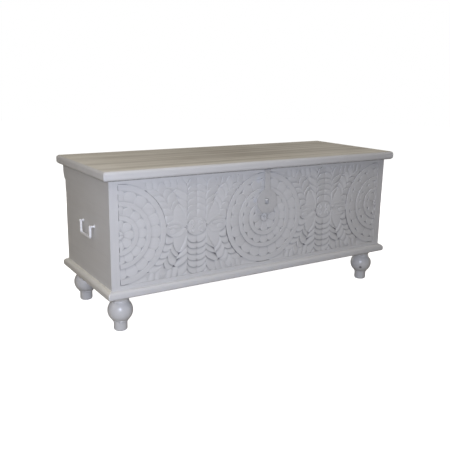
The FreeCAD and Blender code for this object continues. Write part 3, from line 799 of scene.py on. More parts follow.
def meshed(name: str, shape: Shape) -> bpy.types.Mesh:
    """Turn a modelled shape into a mesh.

    Args:
        name: the mesh's name.
        shape: the shape. It is used up.

    Returns:
        The new mesh.
    """
    mesh = bpy.data.meshes.new(name)
    shape.to_mesh(mesh)
    shape.free()
    return mesh


def everything(shape: Shape) -> list[bmesh.types.BMVert | bmesh.types.BMEdge | bmesh.types.BMFace]:
    """Return all corners, edges and faces of a shape."""
    return shape.verts[:] + shape.edges[:] + shape.faces[:]


def finished_piece(name: str, shape: Shape, finish: Material, fitted: Fitted,
                   crease: float = 35.0) -> bpy.types.Object:
    """Turn a modelled shape into a piece of the chest.

    Args:
        name: the piece's name.
        shape: the shape, in the chest's own place. It is used up.
        finish: the material.
        fitted: the body it rides on and the nodes that it stands for.
        crease: angle in degrees past which an edge stays sharp.

    Returns:
        The new object.
    """
    for face in shape.faces:
        face.smooth = True
    for edge in shape.edges:
        edge.smooth = edge.calc_face_angle(0.0) < math.radians(crease)
    mesh = meshed(name, shape)
    piece = linked(name, mesh)
    mesh.materials.append(finish)
    weighted = piece.modifiers.new("weighted", "WEIGHTED_NORMAL")
    weighted.keep_sharp = True
    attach(piece, fitted.body)
    if fitted.replaces:
        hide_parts(*fitted.replaces)
    LOG.info("%s: %d faces on %s", name, len(mesh.polygons), fitted.body)
    return piece


@dataclass(frozen=True)
class PanelPlace:
    """The carved panel's own coordinates: across and up from a centre, and height off its face."""

    face_y: float
    middle_z: float

    def at(self, across: float, up: float, height: float) -> Vector:
        """Return the place of a point on the panel. Height counts from the highest carving, outwards."""
        return Vector((across, self.face_y - height, self.middle_z + up))


def goes_round(turn: float) -> bool:
    """Return whether a sweep goes all the way round."""
    return turn > FULL_TURN - TURN_SLACK


@dataclass
class Relief:
    """A carving in the making: closed pads, rings and domes on a shared ground."""

    shape: Shape
    place: PanelPlace
    floor: float = -5.2 * MM

    def pad(self, cells: tuple[int, int], surface: Surface) -> None:
        """Raise one closed pad with a bent top.

        Args:
            cells: cells along the first and along the second parameter.
            surface: gives (across, up, height) for two parameters from -1 to 1.
        """
        made = bmesh.ops.create_grid(self.shape, x_segments=cells[0], y_segments=cells[1], size=1.0)
        corners = made["verts"]
        for corner in corners:
            corner.co = self.place.at(*surface(corner.co.x, corner.co.y))
        faces = list({face for corner in corners for face in corner.link_faces})
        rim = [edge for edge in {edge for face in faces for edge in face.edges} if edge.is_boundary]
        wall = bmesh.ops.extrude_edge_only(self.shape, edges=rim)["geom"]
        low = [item for item in wall if isinstance(item, bmesh.types.BMVert)]
        for corner in low:
            corner.co.y = self.place.face_y - self.floor
        walls = [item for item in wall if isinstance(item, bmesh.types.BMFace)]
        low_edges = {edge for corner in low for edge in corner.link_edges}
        base_rim = [edge for edge in low_edges if edge.is_boundary]
        base = bmesh.ops.edgeloop_fill(self.shape, edges=base_rim)["faces"]
        bmesh.ops.remove_doubles(self.shape, verts=corners + low, dist=HAIR)
        kept = [face for face in faces + walls + base if face.is_valid]
        bmesh.ops.recalc_face_normals(self.shape, faces=kept)

    def spun_band(self, across: float, profile: list[Point], start: float, turn: float, steps: int) -> None:
        """Turn a profile about an axis square to the panel.

        Args:
            across: place of the axis along the panel.
            profile: (radius, height) points, in order.
            start: first angle, in radians.
            turn: angle swept, in radians.
            steps: steps in the sweep.
        """
        ahead, aside = math.cos(start), math.sin(start)
        outline = [self.shape.verts.new(self.place.at(across + radius * ahead, radius * aside, height))
                   for radius, height in profile]
        edges = [self.shape.edges.new(pair) for pair in zip(outline, outline[1:])]
        edges.append(self.shape.edges.new((outline[-1], outline[0])))
        bmesh.ops.spin(self.shape, geom=outline + edges, cent=self.place.at(across, 0, 0), axis=(0, -1, 0),
                       angle=turn, steps=steps, use_merge=goes_round(turn), use_duplicate=False)


ROW_SHARES = (0.0, 0.05, 0.14, 0.32, 0.57, 0.81, 0.95, 1.0)
LEAF_CELLS = (10, len(ROW_SHARES) - 1)
UNEVEN_RATES = (78.233, 12.99)
UNEVEN_SHIFT = 1.7


def eased(value: float) -> float:
    """Return a share from 0 to 1 for a value from -1 to 1, with its steps close together at both ends."""
    return (1 + math.sin(value * math.pi / 2)) / 2


def rowed(value: float) -> float:
    """Return the share of a pad's row for a value from -1 to 1, with rows close together at root and edge."""
    return ROW_SHARES[round((value + 1) / 2 * (len(ROW_SHARES) - 1))]


def uneven(seed: float) -> float:
    """Return a steady value from -1 to 1 for a seed, as a hand-cut piece differs from the next one."""
    fast, slow = UNEVEN_RATES
    return math.sin(seed * fast + UNEVEN_SHIFT) * math.cos(seed * slow)


def held(value: float) -> float:
    """Return a value kept between 0 and 1."""
    return min(1.0, max(0.0, value))


@dataclass(frozen=True)
class Fall:
    """How far a carved surface falls towards an edge: hardly at first, then steeply."""

    depth: float
    power: float

    def at(self, share: float) -> float:
        """Return the fall at a share of the way to the edge."""
        return self.depth * share ** self.power


@dataclass(frozen=True)
class Rosette:
    """A round flower of three raised rings, with a band of petals inside each and a boss in the middle."""

    across: float
    start: float
    turn: float
    ring_radii: Triple = (155.0 * MM, 104.0 * MM, 62.0 * MM)
    ring_bands: Triple = (17.5 * MM, 14.0 * MM, 14.0 * MM)
    arris: float = 0.5 * MM
    arris_steps: Triple = (0.4, 1.4, 0.3)
    pocket_reach: float = 6.5 * MM
    pocket_slope: Point = (-4.3 * MM, -2.1 * MM)
    gutter: float = 2.6 * MM
    gutter_share: float = 0.98
    gutter_floor: float = -4.2 * MM
    gutter_turn: float = math.radians(78)
    petals: tuple[int, int, int] = (20, 16, 8)
    petal_gap: float = 0.1 * MM
    petal_top: float = -0.35 * MM
    petal_crown: float = 0.6 * MM
    petal_spread: float = 0.12 * MM
    petal_root: Fall = Fall(2.4 * MM, 1.5)
    petal_side: Fall = Fall(0.55 * MM, 24)
    petal_lip: Fall = Fall(0.2 * MM, 30)
    crown_side: Fall = Fall(1.0, 3)
    shoulder_widths: Triple = (12.5 * MM, 11.0 * MM, 11.0 * MM)
    shoulder_drops: Triple = (7.0 * MM, 6.4 * MM, 7.2 * MM)
    shoulder_power: float = 1.15
    shoulder_spread: float = 0.25
    shoulder_lip: Fall = Fall(0.7 * MM, 10)
    lobes: int = 4
    boss_cells: tuple[int, int] = (10, 8)
    boss_radius: float = 13.0 * MM
    boss_eye: float = 1.2 * MM
    boss_top: float = 0.9 * MM
    boss_side: Fall = Fall(1.9 * MM, 8)
    boss_rim: Fall = Fall(1.4 * MM, 6)
    boss_dimple: Fall = Fall(2.4 * MM, 4)
    sliver: float = 0.01
    steps_in_turn: int = 144

    def carve(self, relief: Relief) -> None:
        """Carve the whole flower.

        Args:
            relief: the carving.
        """
        beds = [outer - band for outer, band in zip(self.ring_radii, self.ring_bands)]
        for outer, inner in zip(self.ring_radii, beds):
            self.ring(relief, inner, outer)
        inner_radii = (*self.ring_radii[1:], self.boss_radius)
        rows = zip(beds, inner_radii, self.petals, self.shoulder_widths, self.shoulder_drops)
        for outer, inner, count, width, drop in rows:
            for middle in self.middles(count):
                self.petal(relief, (inner, outer), middle, math.pi / count, (width, drop))
        for middle in self.middles(self.lobes, 0.5):
            self.boss_lobe(relief, middle, math.pi / self.lobes)

    def in_shaded_gutter(self, across: float, up: float) -> bool:
        """Return whether a point lies in the part of the gutter beside the outermost ring that is painted
        fully dark as shade.
        """
        away = math.hypot(across - self.across, up) - self.ring_radii[0]
        return 0 < away < self.gutter and 0 < math.atan2(up, across - self.across) < self.gutter_turn

    def middles(self, count: int, offset: float = 0.0) -> list[float]:
        """Return the middle angles of those of a band's pieces that lie in this part of a flower.

        Args:
            count: pieces in a whole turn.
            offset: share of a piece by which the first middle is turned.

        Returns:
            The angles, in radians.
        """
        step = FULL_TURN / count
        every = [(number + offset) * step for number in range(count)]
        if goes_round(self.turn):
            return every
        low = self.start - step / 2 + self.sliver
        high = self.start + self.turn + step / 2 - self.sliver
        turned = (angle + FULL_TURN * turns for angle in every for turns in (-1, 0, 1))
        return [angle for angle in turned if low < angle < high]

    def kept(self, middle: float, half: float) -> Point:
        """Return the part of a piece's arc that lies in this part of the flower.

        Args:
            middle: angle of the piece's middle.
            half: half of the angle that it takes up.

        Returns:
            The first and the last angle.
        """
        if goes_round(self.turn):
            return middle - half, middle + half
        return max(middle - half, self.start), min(middle + half, self.start + self.turn)

    def ring(self, relief: Relief, inner: float, outer: float) -> None:
        """Raise one plain band with eased arrises, and the sloping floor of the pockets inside it.

        Args:
            relief: the carving.
            inner: the band's inner radius.
            outer: its outer radius.
        """
        near, far, dip = (share * self.arris for share in self.arris_steps)
        deep, shallow = self.pocket_slope
        pocket = inner - self.pocket_reach
        profile = [(pocket, relief.floor), (pocket, deep), (inner, shallow), (inner, -self.arris),
                   (inner + near, -dip), (inner + far, 0.0), ((inner + outer) / 2, dip),
                   (outer - far, 0.0), (outer - near, -dip), (outer, -self.arris)]
        if outer == self.ring_radii[0]:
            gutter_edge = outer + self.gutter * self.gutter_share
            profile += [(outer + HAIR, self.gutter_floor), (gutter_edge, self.gutter_floor)]
        profile.append((profile[-1][0], relief.floor))
        steps = round(self.steps_in_turn * self.turn / FULL_TURN)
        relief.spun_band(self.across, profile, self.start, self.turn, steps)

    def placed(self, radius: float, angle: float, height: float) -> Triple:
        """Return a point of the flower as it lies on the panel."""
        return self.across + radius * math.cos(angle), radius * math.sin(angle), height

    def petal(self, relief: Relief, reach: Point, middle: float, half: float, shoulder: Point) -> None:
        """Raise one petal, low beside the inner ring and round-shouldered under the outer one.

        Args:
            relief: the carving.
            reach: inner and outer radius of the petal.
            middle: angle of its middle line.
            half: half of the angle that it takes up.
            shoulder: width and height of its rounded corners.
        """
        inner, outer = reach
        width, fall = shoulder
        flat = 1.0 - width / (half * outer)
        rounding = Fall(fall * (1 + self.shoulder_spread * uneven(middle)), self.shoulder_power)
        first, last = self.kept(middle, half)

        def surface(s: float, t: float) -> Triple:
            """Return a point of the petal.

            Args:
                s: from side to side.
                t: outwards.

            Returns:
                Its (across, up, height).
            """
            out = rowed(t)
            angle = first + eased(s) * (last - first)
            side = abs(angle - middle) / half
            corner = held((side - flat) / (1 - flat))
            radius = inner + (outer - self.petal_gap - rounding.at(corner) - inner) * out
            height = self.petal_top - self.petal_root.at(1 - out) + self.petal_spread * uneven(middle + outer)
            height += self.petal_crown * (1 - self.crown_side.at(side)) * math.sqrt(math.sin(math.pi * out))
            height -= self.petal_side.at(side) + corner * self.shoulder_lip.at(out) + self.petal_lip.at(out)
            return self.placed(radius, angle, height)

        relief.pad(LEAF_CELLS, surface)

    def boss_lobe(self, relief: Relief, middle: float, half: float) -> None:
        """Raise one lobe of the domed boss.

        Args:
            relief: the carving.
            middle: angle of its middle line.
            half: half of the angle that it takes up.
        """
        first, last = self.kept(middle, half)

        def surface(s: float, t: float) -> Triple:
            """Return a point of the lobe.

            Args:
                s: from side to side.
                t: outwards.

            Returns:
                Its (across, up, height).
            """
            out = eased(t)
            angle = first + eased(s) * (last - first)
            side = abs(angle - middle) / half
            radius = self.boss_eye + (self.boss_radius - self.boss_eye) * out
            fallen = self.boss_side.at(side) + self.boss_rim.at(out) + self.boss_dimple.at(1 - out)
            return self.placed(radius, angle, self.boss_top - fallen)

        relief.pad(self.boss_cells, surface)


@dataclass(frozen=True)
class Bow:
    """A bowed line on the panel through three points, each (across, up) from the palmette's middle."""

    start: Point
    bend: Point
    end: Point

    def at(self, share: float) -> Point:
        """Return a point on the curve that passes through the bend halfway.

        Args:
            share: share of the way from the start.

        Returns:
            The point.
        """
        a = (1 - share) * (1 - 2 * share)
        b = 4 * share * (1 - share)
        c = share * (2 * share - 1)
        return tuple(a * p + b * q + c * r for p, q, r in zip(self.start, self.bend, self.end))


def bows(*rows: tuple[float, float, float, float, float, float]) -> tuple[Bow, ...]:
    """Return bowed lines from rows of three points in millimetres."""
    return tuple(Bow((a * MM, b * MM), (c * MM, d * MM), (e * MM, f * MM)) for a, b, c, d, e, f in rows)


@dataclass(frozen=True)
class Leaf:
    """One leaf that rises from under its neighbour, at its root line, to its own proud edge."""

    root: Bow
    edge: Bow
    pocket: float = 2.2 * MM
    fading: float = 0.0
    fading_power: float = 1.5
    pocket_powers: tuple[int, int] = (12, 2)
    root_fall: Fall = Fall(1.0, 2.3)
    bowing: Fall = Fall(0.45 * MM, 2)
    end_cut: Fall = Fall(1.1 * MM, 14)
    end_eased: Fall = Fall(0.8 * MM, 14)
    lip: Fall = Fall(0.6 * MM, 16)

    def height(self, along: float, down: float, sink: float) -> float:
        """Return the leaf's height.

        Args:
            along: share of the way along its edge.
            down: share of the way from its root to its edge.
            sink: depth of its root.

        Returns:
            The height over the highest carving.
        """
        ends = abs(2 * along - 1)
        along_power, down_power = self.pocket_powers
        height = -sink * (1 - self.fading * (1 - along) ** self.fading_power) * self.root_fall.at(1 - down)
        height -= self.bowing.at(ends) * (1 - along) + self.lip.at(down)
        height -= self.end_cut.at(ends) - self.end_eased.at(ends) * along
        return height - self.pocket * along ** along_power * down ** down_power


def shingled(edges: tuple[Bow, ...], pocket: float) -> tuple[Leaf, ...]:
    """Return leaves that overlap like shingles, each one rooted under the edge before its own."""
    return tuple(Leaf(root, edge, pocket) for root, edge in zip(edges, edges[1:]))


def plain(*rows: tuple[float, ...]) -> tuple[Leaf, ...]:
    """Return leaves without a pocket from rows of six points in millimetres, root line first."""
    return tuple(Leaf(*bows(row[:6], row[6:]), 0.0) for row in rows)


@dataclass(frozen=True)
class Palmette:
    """Leaves between two rosettes, the same above and below, left and right of the middle."""

    across: float
    sink: float = 3.8 * MM
    upper_share: float = 0.64
    # Share of the painted hollow shade and grime that is kept in the upper half.
    upper_shade_share: float = 0.16
    leaf_spread: float = 0.15 * MM
    root_tuck: float = 0.03
    column: tuple[Leaf, ...] = shingled(bows(
        (34, -10, 24, -22, 0.05, -26),
        (34, -34, 24, -48.5, 0.05, -54),
        (34, -57, 24, -69, 0.05, -73.5),
        (34, -79, 24, -89.5, 0.05, -94),
        (34, -99, 24, -109.5, 0.05, -114),
        (34, -117, 24, -131, 0.05, -136),
        (35, -136, 24, -152, 0.05, -158),
        (40, -153, 24, -172, 0.05, -180)), 3.0 * MM)
    inner_flank: tuple[Leaf, ...] = (
        Leaf(*bows((34.2, -8, 48, -46, 67, -77), (34.2, -59, 46, -69, 65, -80)), 2.2 * MM, 0.8),
        Leaf(*bows((34.2, -59, 50, -70.5, 73, -94), (34.2, -80, 48, -90.5, 74, -100))),
        Leaf(*bows((34.2, -80, 54, -92, 84, -117), (34.2, -101, 47, -115, 75, -127)), 1.0 * MM),
        Leaf(*bows((34.2, -101, 47, -115, 72, -126), (35, -134, 49, -150, 68, -158)), 0.5 * MM),
        Leaf(*bows((35, -134, 49, -150, 68, -157), (36, -160, 52, -172, 70, -178)), 0.0))
    outer_flank: tuple[Leaf, ...] = plain(
        (66, -77, 80, -62, 83.5, -41, 68.5, -95, 87.5, -79.5, 94, -60),
        (69.5, -95, 87, -79.5, 92.5, -60, 80, -117.5, 98.5, -110, 105, -86),
        (82, -118, 98, -110, 103.5, -87, 97, -130, 113, -124, 118, -104),
        (99, -130.5, 113, -124, 117, -105, 122, -154, 132, -142, 137, -124.5))
    hugging: tuple[Leaf, ...] = shingled(bows(
        (81, -20, 95, -24, 108, -12),
        (83, -40, 97, -46, 113.4, -43),
        (92, -61, 106, -69.5, 122.3, -66.5),
        (102, -82, 117, -90, 134.4, -87.5),
        (115, -102, 131, -110, 150.6, -107.5),
        (135, -123, 152, -131, 173.5, -127.5)), 3.2 * MM)
    shoulder: tuple[Leaf, ...] = plain((62.5, -71, 47, -44, 34.2, -5, 65.5, -77, 81, -62, 86, -22))
    shoulder_sink: float = 0.2
    shoulder_lift: float = -0.6 * MM
    fan: tuple[Leaf, ...] = plain(
        (66, -123, 69, -140, 69, -158, 36, -134, 46, -150, 62, -158.5),
        (90, -127, 92, -142, 92, -158, 69, -126, 71, -144, 80, -159),
        (112, -132, 113, -145, 113, -158, 92, -129, 93, -145, 101, -159),
        (150, -130, 152, -143, 153, -158, 136, -128, 133, -146, 140, -158.5),
        (169, -130, 173, -143, 179, -158, 153, -131, 153, -146, 160, -158.5),
        (178, -131, 203, -146, 252, -157, 172, -158.5, 205, -159, 252, -159.5))
    fan_sink: float = 0.7
    fan_lift: float = -0.3 * MM
    fan_bed: tuple[Leaf, ...] = plain((66, -126, 130, -126, 186, -132, 60, -159, 130, -159, 250, -159.5))
    fan_bed_lift: float = -2.0 * MM
    drop_bands: tuple[Leaf, ...] = plain(
        (48, 1.5, 70, 12.5, 104, 11, 36.5, 0.4, 64, 24.5, 105.5, 20),
        (48, -2, 68, -13, 92, -19, 36.5, -0.8, 64, -28.5, 104, -17),
        (59, 0, 74, -1, 100, 1, 57, 4, 70, 11, 103, 6.5))
    drop_sink: float = 1.5 * MM
    drop_lift: float = 0.3 * MM
    volute_cells: tuple[int, int] = (44, 6)
    volute_middle: Point = (17.2 * MM, -11.8 * MM)
    volute_radius: float = 12.6 * MM
    volute_eye: float = 2.2 * MM
    volute_turns: float = 1.55
    volute_winding: float = 0.9
    volute_spacing: float = 2.6
    volute_thinning: float = 0.35
    volute_least: float = 0.3 * MM
    volute_top: float = 0.2 * MM
    volute_dip: float = 1.0 * MM
    volute_side: Fall = Fall(1.1 * MM, 4)
    oval_cells: tuple[int, int] = (10, 10)
    oval_crown: Fall = Fall(1.0, 3)
    side_ovals: tuple[tuple[Point, Point, float, float], ...] = (
        ((86 * MM, -8.5 * MM), (12.5 * MM, 9.0 * MM), -0.6 * MM, 0.9 * MM),
        ((78 * MM, -1 * MM), (34 * MM, 23 * MM), -1.8 * MM, 0.0))
    middle_oval: tuple[Point, Point, float, float] = ((0.0, 0.0), (35 * MM, 29 * MM), -1.3 * MM, 0.0)

    def carve(self, relief: Relief) -> None:
        """Carve the four quarters and the flowers at mid-height.

        Args:
            relief: the carving.
        """
        for side in (-1, 1):
            for up in (-1, 1):
                self.quarter(relief, (side, up), self.sink * (self.upper_share if up < 0 else 1.0))
            for band in self.drop_bands:
                self.leaf(relief, band, (side, 1), self.drop_sink, self.drop_lift)
            for oval in self.side_ovals:
                self.oval(relief, side, *oval)
        self.oval(relief, 1, *self.middle_oval)

    def quarter(self, relief: Relief, ways: tuple[int, int], sink: float) -> None:
        """Carve the leaves and the scroll of one quarter.

        Args:
            relief: the carving.
            ways: 1 right or -1 left of the middle, and 1 as drawn or -1 upside down.
            sink: depth of the leaves' roots.
        """
        rows = (((*self.column, *self.inner_flank, *self.outer_flank, *self.hugging), sink, 0.0),
                (self.fan, self.fan_sink * sink, self.fan_lift), (self.fan_bed, 0.0, self.fan_bed_lift),
                (self.shoulder, self.shoulder_sink * sink, self.shoulder_lift))
        for leaves, depth, lift in rows:
            for leaf in leaves:
                self.leaf(relief, leaf, ways, depth, lift)
        self.volute(relief, ways)

    def mirrored(self, point: Point, height: float, ways: tuple[int, int]) -> Triple:
        """Return a point of the lower right quarter as it lies in another one."""
        return self.across + ways[0] * point[0], ways[1] * point[1], height

    def leaf(self, relief: Relief, leaf: Leaf, ways: tuple[int, int], sink: float, lift: float) -> None:
        """Raise one leaf in one quarter of the palmette.

        Args:
            relief: the carving.
            leaf: the leaf, as it lies in the lower right quarter.
            ways: 1 right or -1 left of the middle, and 1 as drawn or -1 upside down.
            sink: depth of the leaf's root.
            lift: height added all over.
        """
        across, up = leaf.edge.bend
        own = lift + self.leaf_spread * uneven(across * ways[0] + up * ways[1] + self.across)

        def surface(s: float, t: float) -> Triple:
            """Return a point of the leaf.

            Args:
                s: along its edge.
                t: from its root to the edge.

            Returns:
                Its (across, up, height).
            """
            along, down = eased(s), rowed(t)
            out = down * (1 + self.root_tuck) - self.root_tuck
            pairs = zip(leaf.root.at(along), leaf.edge.at(along))
            point = tuple(high + (low - high) * out for high, low in pairs)
            return self.mirrored(point, leaf.height(along, down, sink) + own, ways)

        relief.pad(LEAF_CELLS, surface)

    def volute(self, relief: Relief, ways: tuple[int, int]) -> None:
        """Raise one of the four small scrolls around the palmette's middle.

        Args:
            relief: the carving.
            ways: 1 right or -1 left of the middle, and 1 as drawn or -1 upside down.
        """
        room = self.volute_radius - self.volute_eye

        def surface(s: float, t: float) -> Triple:
            """Return a point of the scroll.

            Args:
                s: along its spiral.
                t: across its band.

            Returns:
                Its (across, up, height).
            """
            along, over = (s + 1) / 2, 2 * eased(t) - 1
            angle = math.pi * (0.5 + 2 * self.volute_turns * along)
            middle = self.volute_eye + room * (1 - along) ** self.volute_winding
            half = room / (self.volute_spacing * self.volute_turns) * (1 - self.volute_thinning * along)
            reach = max(self.volute_least, middle - half + half * over)
            height = self.volute_top - self.volute_side.at(abs(over)) - self.volute_dip * along
            across, up = self.volute_middle
            point = (across + reach * math.cos(angle), up + reach * math.sin(angle))
            return self.mirrored(point, height, ways)

        relief.pad(self.volute_cells, surface)

    def oval(self, relief: Relief, side: int, middle: Point, radii: Point, height: float,
             crown: float) -> None:
        """Raise an oval dome or a flat oval bed.

        Args:
            relief: the carving.
            side: 1 right or -1 left of the palmette's middle.
            middle: place of the oval's middle.
            radii: half of its width and of its height.
            height: height of its rim.
            crown: rise of its middle over its rim.
        """

        def surface(s: float, t: float) -> Triple:
            """Return a point of the oval.

            Args:
                s: across the square that is bent to it.
                t: up the same square.

            Returns:
                Its (across, up, height).
            """
            across, up = 2 * eased(s) - 1, 2 * eased(t) - 1
            wide = across * math.sqrt(1 - up * up / 2)
            tall = up * math.sqrt(1 - across * across / 2)
            risen = crown * (1 - self.oval_crown.at(min(1.0, math.hypot(wide, tall))))
            point = (middle[0] + wide * radii[0], middle[1] + tall * radii[1])
            return self.mirrored(point, height + risen, (side, 1))

        relief.pad(self.oval_cells, surface)


@dataclass
class CarvedPanel:
    """The carved board of the front, with its rosettes and palmettes."""

    finishes: Finishes
    ground_depth: float = 4.4 * MM
    # The hollow values below paint grime and shade into the carving: darker the deeper a point lies, and
    # darkest in the lower half, where light from above does not reach.
    hollow_from: float = 1.4 * MM
    hollow_to: float = 3.8 * MM
    hollow_power: float = 1.3
    upper_shade_share: float = 0.16
    upper_petal_shade_share: float = 0.38
    petal_grime_and_shade: float = 0.9
    leaf_grime_and_shade: float = 0.72
    lower_shade_fade: float = 45.0 * MM
    drift: float = 4.0 * MM
    seam: float = 2.1 * MM
    clearance: float = 0.2 * MM
    carving_crease: float = 50.0
    filler_crease: float = 60.0
    filler_cells: tuple[int, int] = (4, 210)
    filler_depth: float = 0.5 * MM
    filler_round: float = 0.5 * MM
    filler_share: float = 0.55
    opening_depth: float = 3.6 * MM
    opening_edge: float = 1.5
    openings: tuple[Point, ...] = ((160, 177), (209, 226), (233, 256), (261, 279), (293, 305), (310, 326),
                                   (359, 392), (401, 410), (422, 441), (450, 467))

    def build(self) -> None:
        """Model the board and every carved field, and fit them to the chest."""
        low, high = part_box("carved_front_panel")
        self.face_y = low.y
        self.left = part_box("front_left_stile")[1].x
        self.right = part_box("front_right_stile")[0].x
        self.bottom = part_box("front_bottom_rail")[1].z
        self.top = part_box("front_top_rail")[0].z
        self.place = PanelPlace(low.y, (self.bottom + self.top) / 2)
        spacing = self.right - self.seam
        left, left_half, middle, right_half, right = (
            -spacing + (spacing + self.drift / 2) * number / 2 for number in range(5))
        self.field("centre_rosette", Rosette(middle, 0.0, FULL_TURN))
        self.field("left_rosette", Rosette(left, -FULL_TURN / 4, FULL_TURN / 2))
        self.field("right_rosette", Rosette(right, FULL_TURN / 4, FULL_TURN / 2))
        self.field("left_palmette", Palmette(left_half))
        self.field("right_palmette", Palmette(right_half, upper_share=0.92, upper_shade_share=0.55))
        self.board(low, high)
        for side in Side:
            self.seam_filler(side)

    def field(self, name: str, motif: Rosette | Palmette) -> None:
        """Carve one field of the panel as a piece.

        Args:
            name: the piece's name.
            motif: what is carved in it.
        """
        relief = Relief(bmesh.new(), self.place)
        motif.carve(relief)
        self.trim(relief.shape, (self.left + self.seam, 0, 0), (-1, 0, 0))
        self.trim(relief.shape, (self.right - self.seam, 0, 0), (1, 0, 0))
        self.trim(relief.shape, (0, 0, self.bottom + self.clearance), (0, 0, -1))
        self.trim(relief.shape, (0, 0, self.top - self.clearance), (0, 0, 1))
        bmesh.ops.recalc_face_normals(relief.shape, faces=relief.shape.faces[:])
        # Every field gets grime and painted shade in its hollows.
        if isinstance(motif, Rosette):
            self.paint_hollow_grime_and_shade(relief.shape, self.upper_petal_shade_share, self.petal_grime_and_shade)
            # The rosette's gutter is painted fully dark as shade.
            self.paint_gutter_shade(relief.shape, motif)
        else:
            self.paint_hollow_grime_and_shade(relief.shape, motif.upper_shade_share, self.leaf_grime_and_shade)
        finished_piece(name, relief.shape, self.finishes.carving, ON_FRONT, self.carving_crease)

    def trim(self, shape: Shape, point: Triple, outward: Triple) -> None:
        """Cut off what passes a plane, and close the cut.

        Args:
            shape: the carving.
            point: a point on the plane.
            outward: the direction in which everything past the plane is cut off.
        """
        cut = bmesh.ops.bisect_plane(shape, geom=everything(shape), dist=TOUCH, plane_co=point,
                                     plane_no=outward, clear_outer=True)
        edges = [item for item in cut["geom_cut"] if isinstance(item, bmesh.types.BMEdge)]
        bmesh.ops.holes_fill(shape, edges=[edge for edge in edges if edge.is_boundary], sides=0)

    def paint_hollow_grime_and_shade(self, shape: Shape, upper_shade_share: float, grime_and_shade: float) -> None:
        """Note how deep each corner lies below the highest carving, for the grime and painted shade in it.

        Args:
            shape: the carving.
            upper_shade_share: share of the grime and painted shade that is left in the upper half.
            grime_and_shade: how dark the deepest hollow is, from 0 to 1.
        """
        layer = shape.verts.layers.float.new(HOLLOW)
        for corner in shape.verts:
            depth = corner.co.y - self.face_y - self.hollow_from
            share = held(depth / (self.hollow_to - self.hollow_from))
            # Painted shade: the lower half keeps all of the darkening, as light from above does not reach its
            # hollows; the upper half keeps only a share.
            lowness = held(0.5 - (corner.co.z - self.place.middle_z) / (2 * self.lower_shade_fade))
            kept = upper_shade_share + (1 - upper_shade_share) * lowness
            corner[layer] = grime_and_shade * kept * share ** self.hollow_power

    def paint_gutter_shade(self, shape: Shape, motif: Rosette) -> None:
        """Paint the narrow gutter beside a rosette's outermost ring fully dark, as shade.

        Args:
            shape: the carving.
            motif: the rosette.
        """
        layer = shape.verts.layers.float[HOLLOW]
        for corner in shape.verts:
            if motif.in_shaded_gutter(corner.co.x, corner.co.z - self.place.middle_z):
                # Painted shade: the gutter is set to the darkest value.
                corner[layer] = 1.0

    def board(self, low: Vector, high: Vector) -> None:
        """Model the board behind the carving.

        Args:
            low: lowest corner of the whole panel.
            high: its highest corner.
        """
        shape = bmesh.new()
        bmesh.ops.create_cube(shape, size=1.0)
        front = Vector((low.x, self.face_y + self.ground_depth, low.z))
        stretch = Matrix.Diagonal((*(high - front), 1.0))
        bmesh.ops.transform(shape, matrix=Matrix.Translation((front + high) / 2) @ stretch, verts=shape.verts)
        # The board is cut at the levels where the painted shade fades between the halves.
        for level in (-self.lower_shade_fade, self.lower_shade_fade):
            height = self.place.middle_z + level
            bmesh.ops.bisect_plane(shape, geom=everything(shape), plane_co=(0, 0, height), plane_no=(0, 0, 1))
        self.paint_hollow_grime_and_shade(shape, self.upper_shade_share, self.petal_grime_and_shade)
        finished_piece("carved_panel_board", shape, self.finishes.carving, ON_FRONT)

    def seam_filler(self, side: Side) -> None:
        """Model the paint that bridges the joint between stile and carving, with gaps left open.

        Args:
            side: the end of the carving.
        """
        relief = Relief(bmesh.new(), self.place)
        joint = (self.left if side is Side.LEFT else self.right) - side.value * self.seam / 2
        half_height = (self.top - self.bottom) / 2

        def surface(s: float, t: float) -> Triple:
            """Return a point of the filler.

            Args:
                s: across the joint.
                t: up along it.

            Returns:
                Its (across, up, height).
            """
            height = (self.place.middle_z + t * half_height) / MM
            inside = max(min(height - low, high - height) for low, high in self.openings)
            opened = held(inside / self.opening_edge)
            depth = self.filler_depth + self.opening_depth * opened + self.filler_round * (1 - abs(s))
            return joint + s * self.seam * self.filler_share, t * half_height, -depth

        relief.pad(self.filler_cells, surface)
        self.paint_hollow_grime_and_shade(relief.shape, self.upper_shade_share, self.petal_grime_and_shade)
        finished_piece(f"{side.word}_panel_seam", relief.shape, self.finishes.carving, ON_FRONT,
                       self.filler_crease)


class Station(NamedTuple):
    """One place along a bail's line, the direction inwards there and the share of the full thickness."""

    place: Point
    inward: Point
    share: float = 1.0


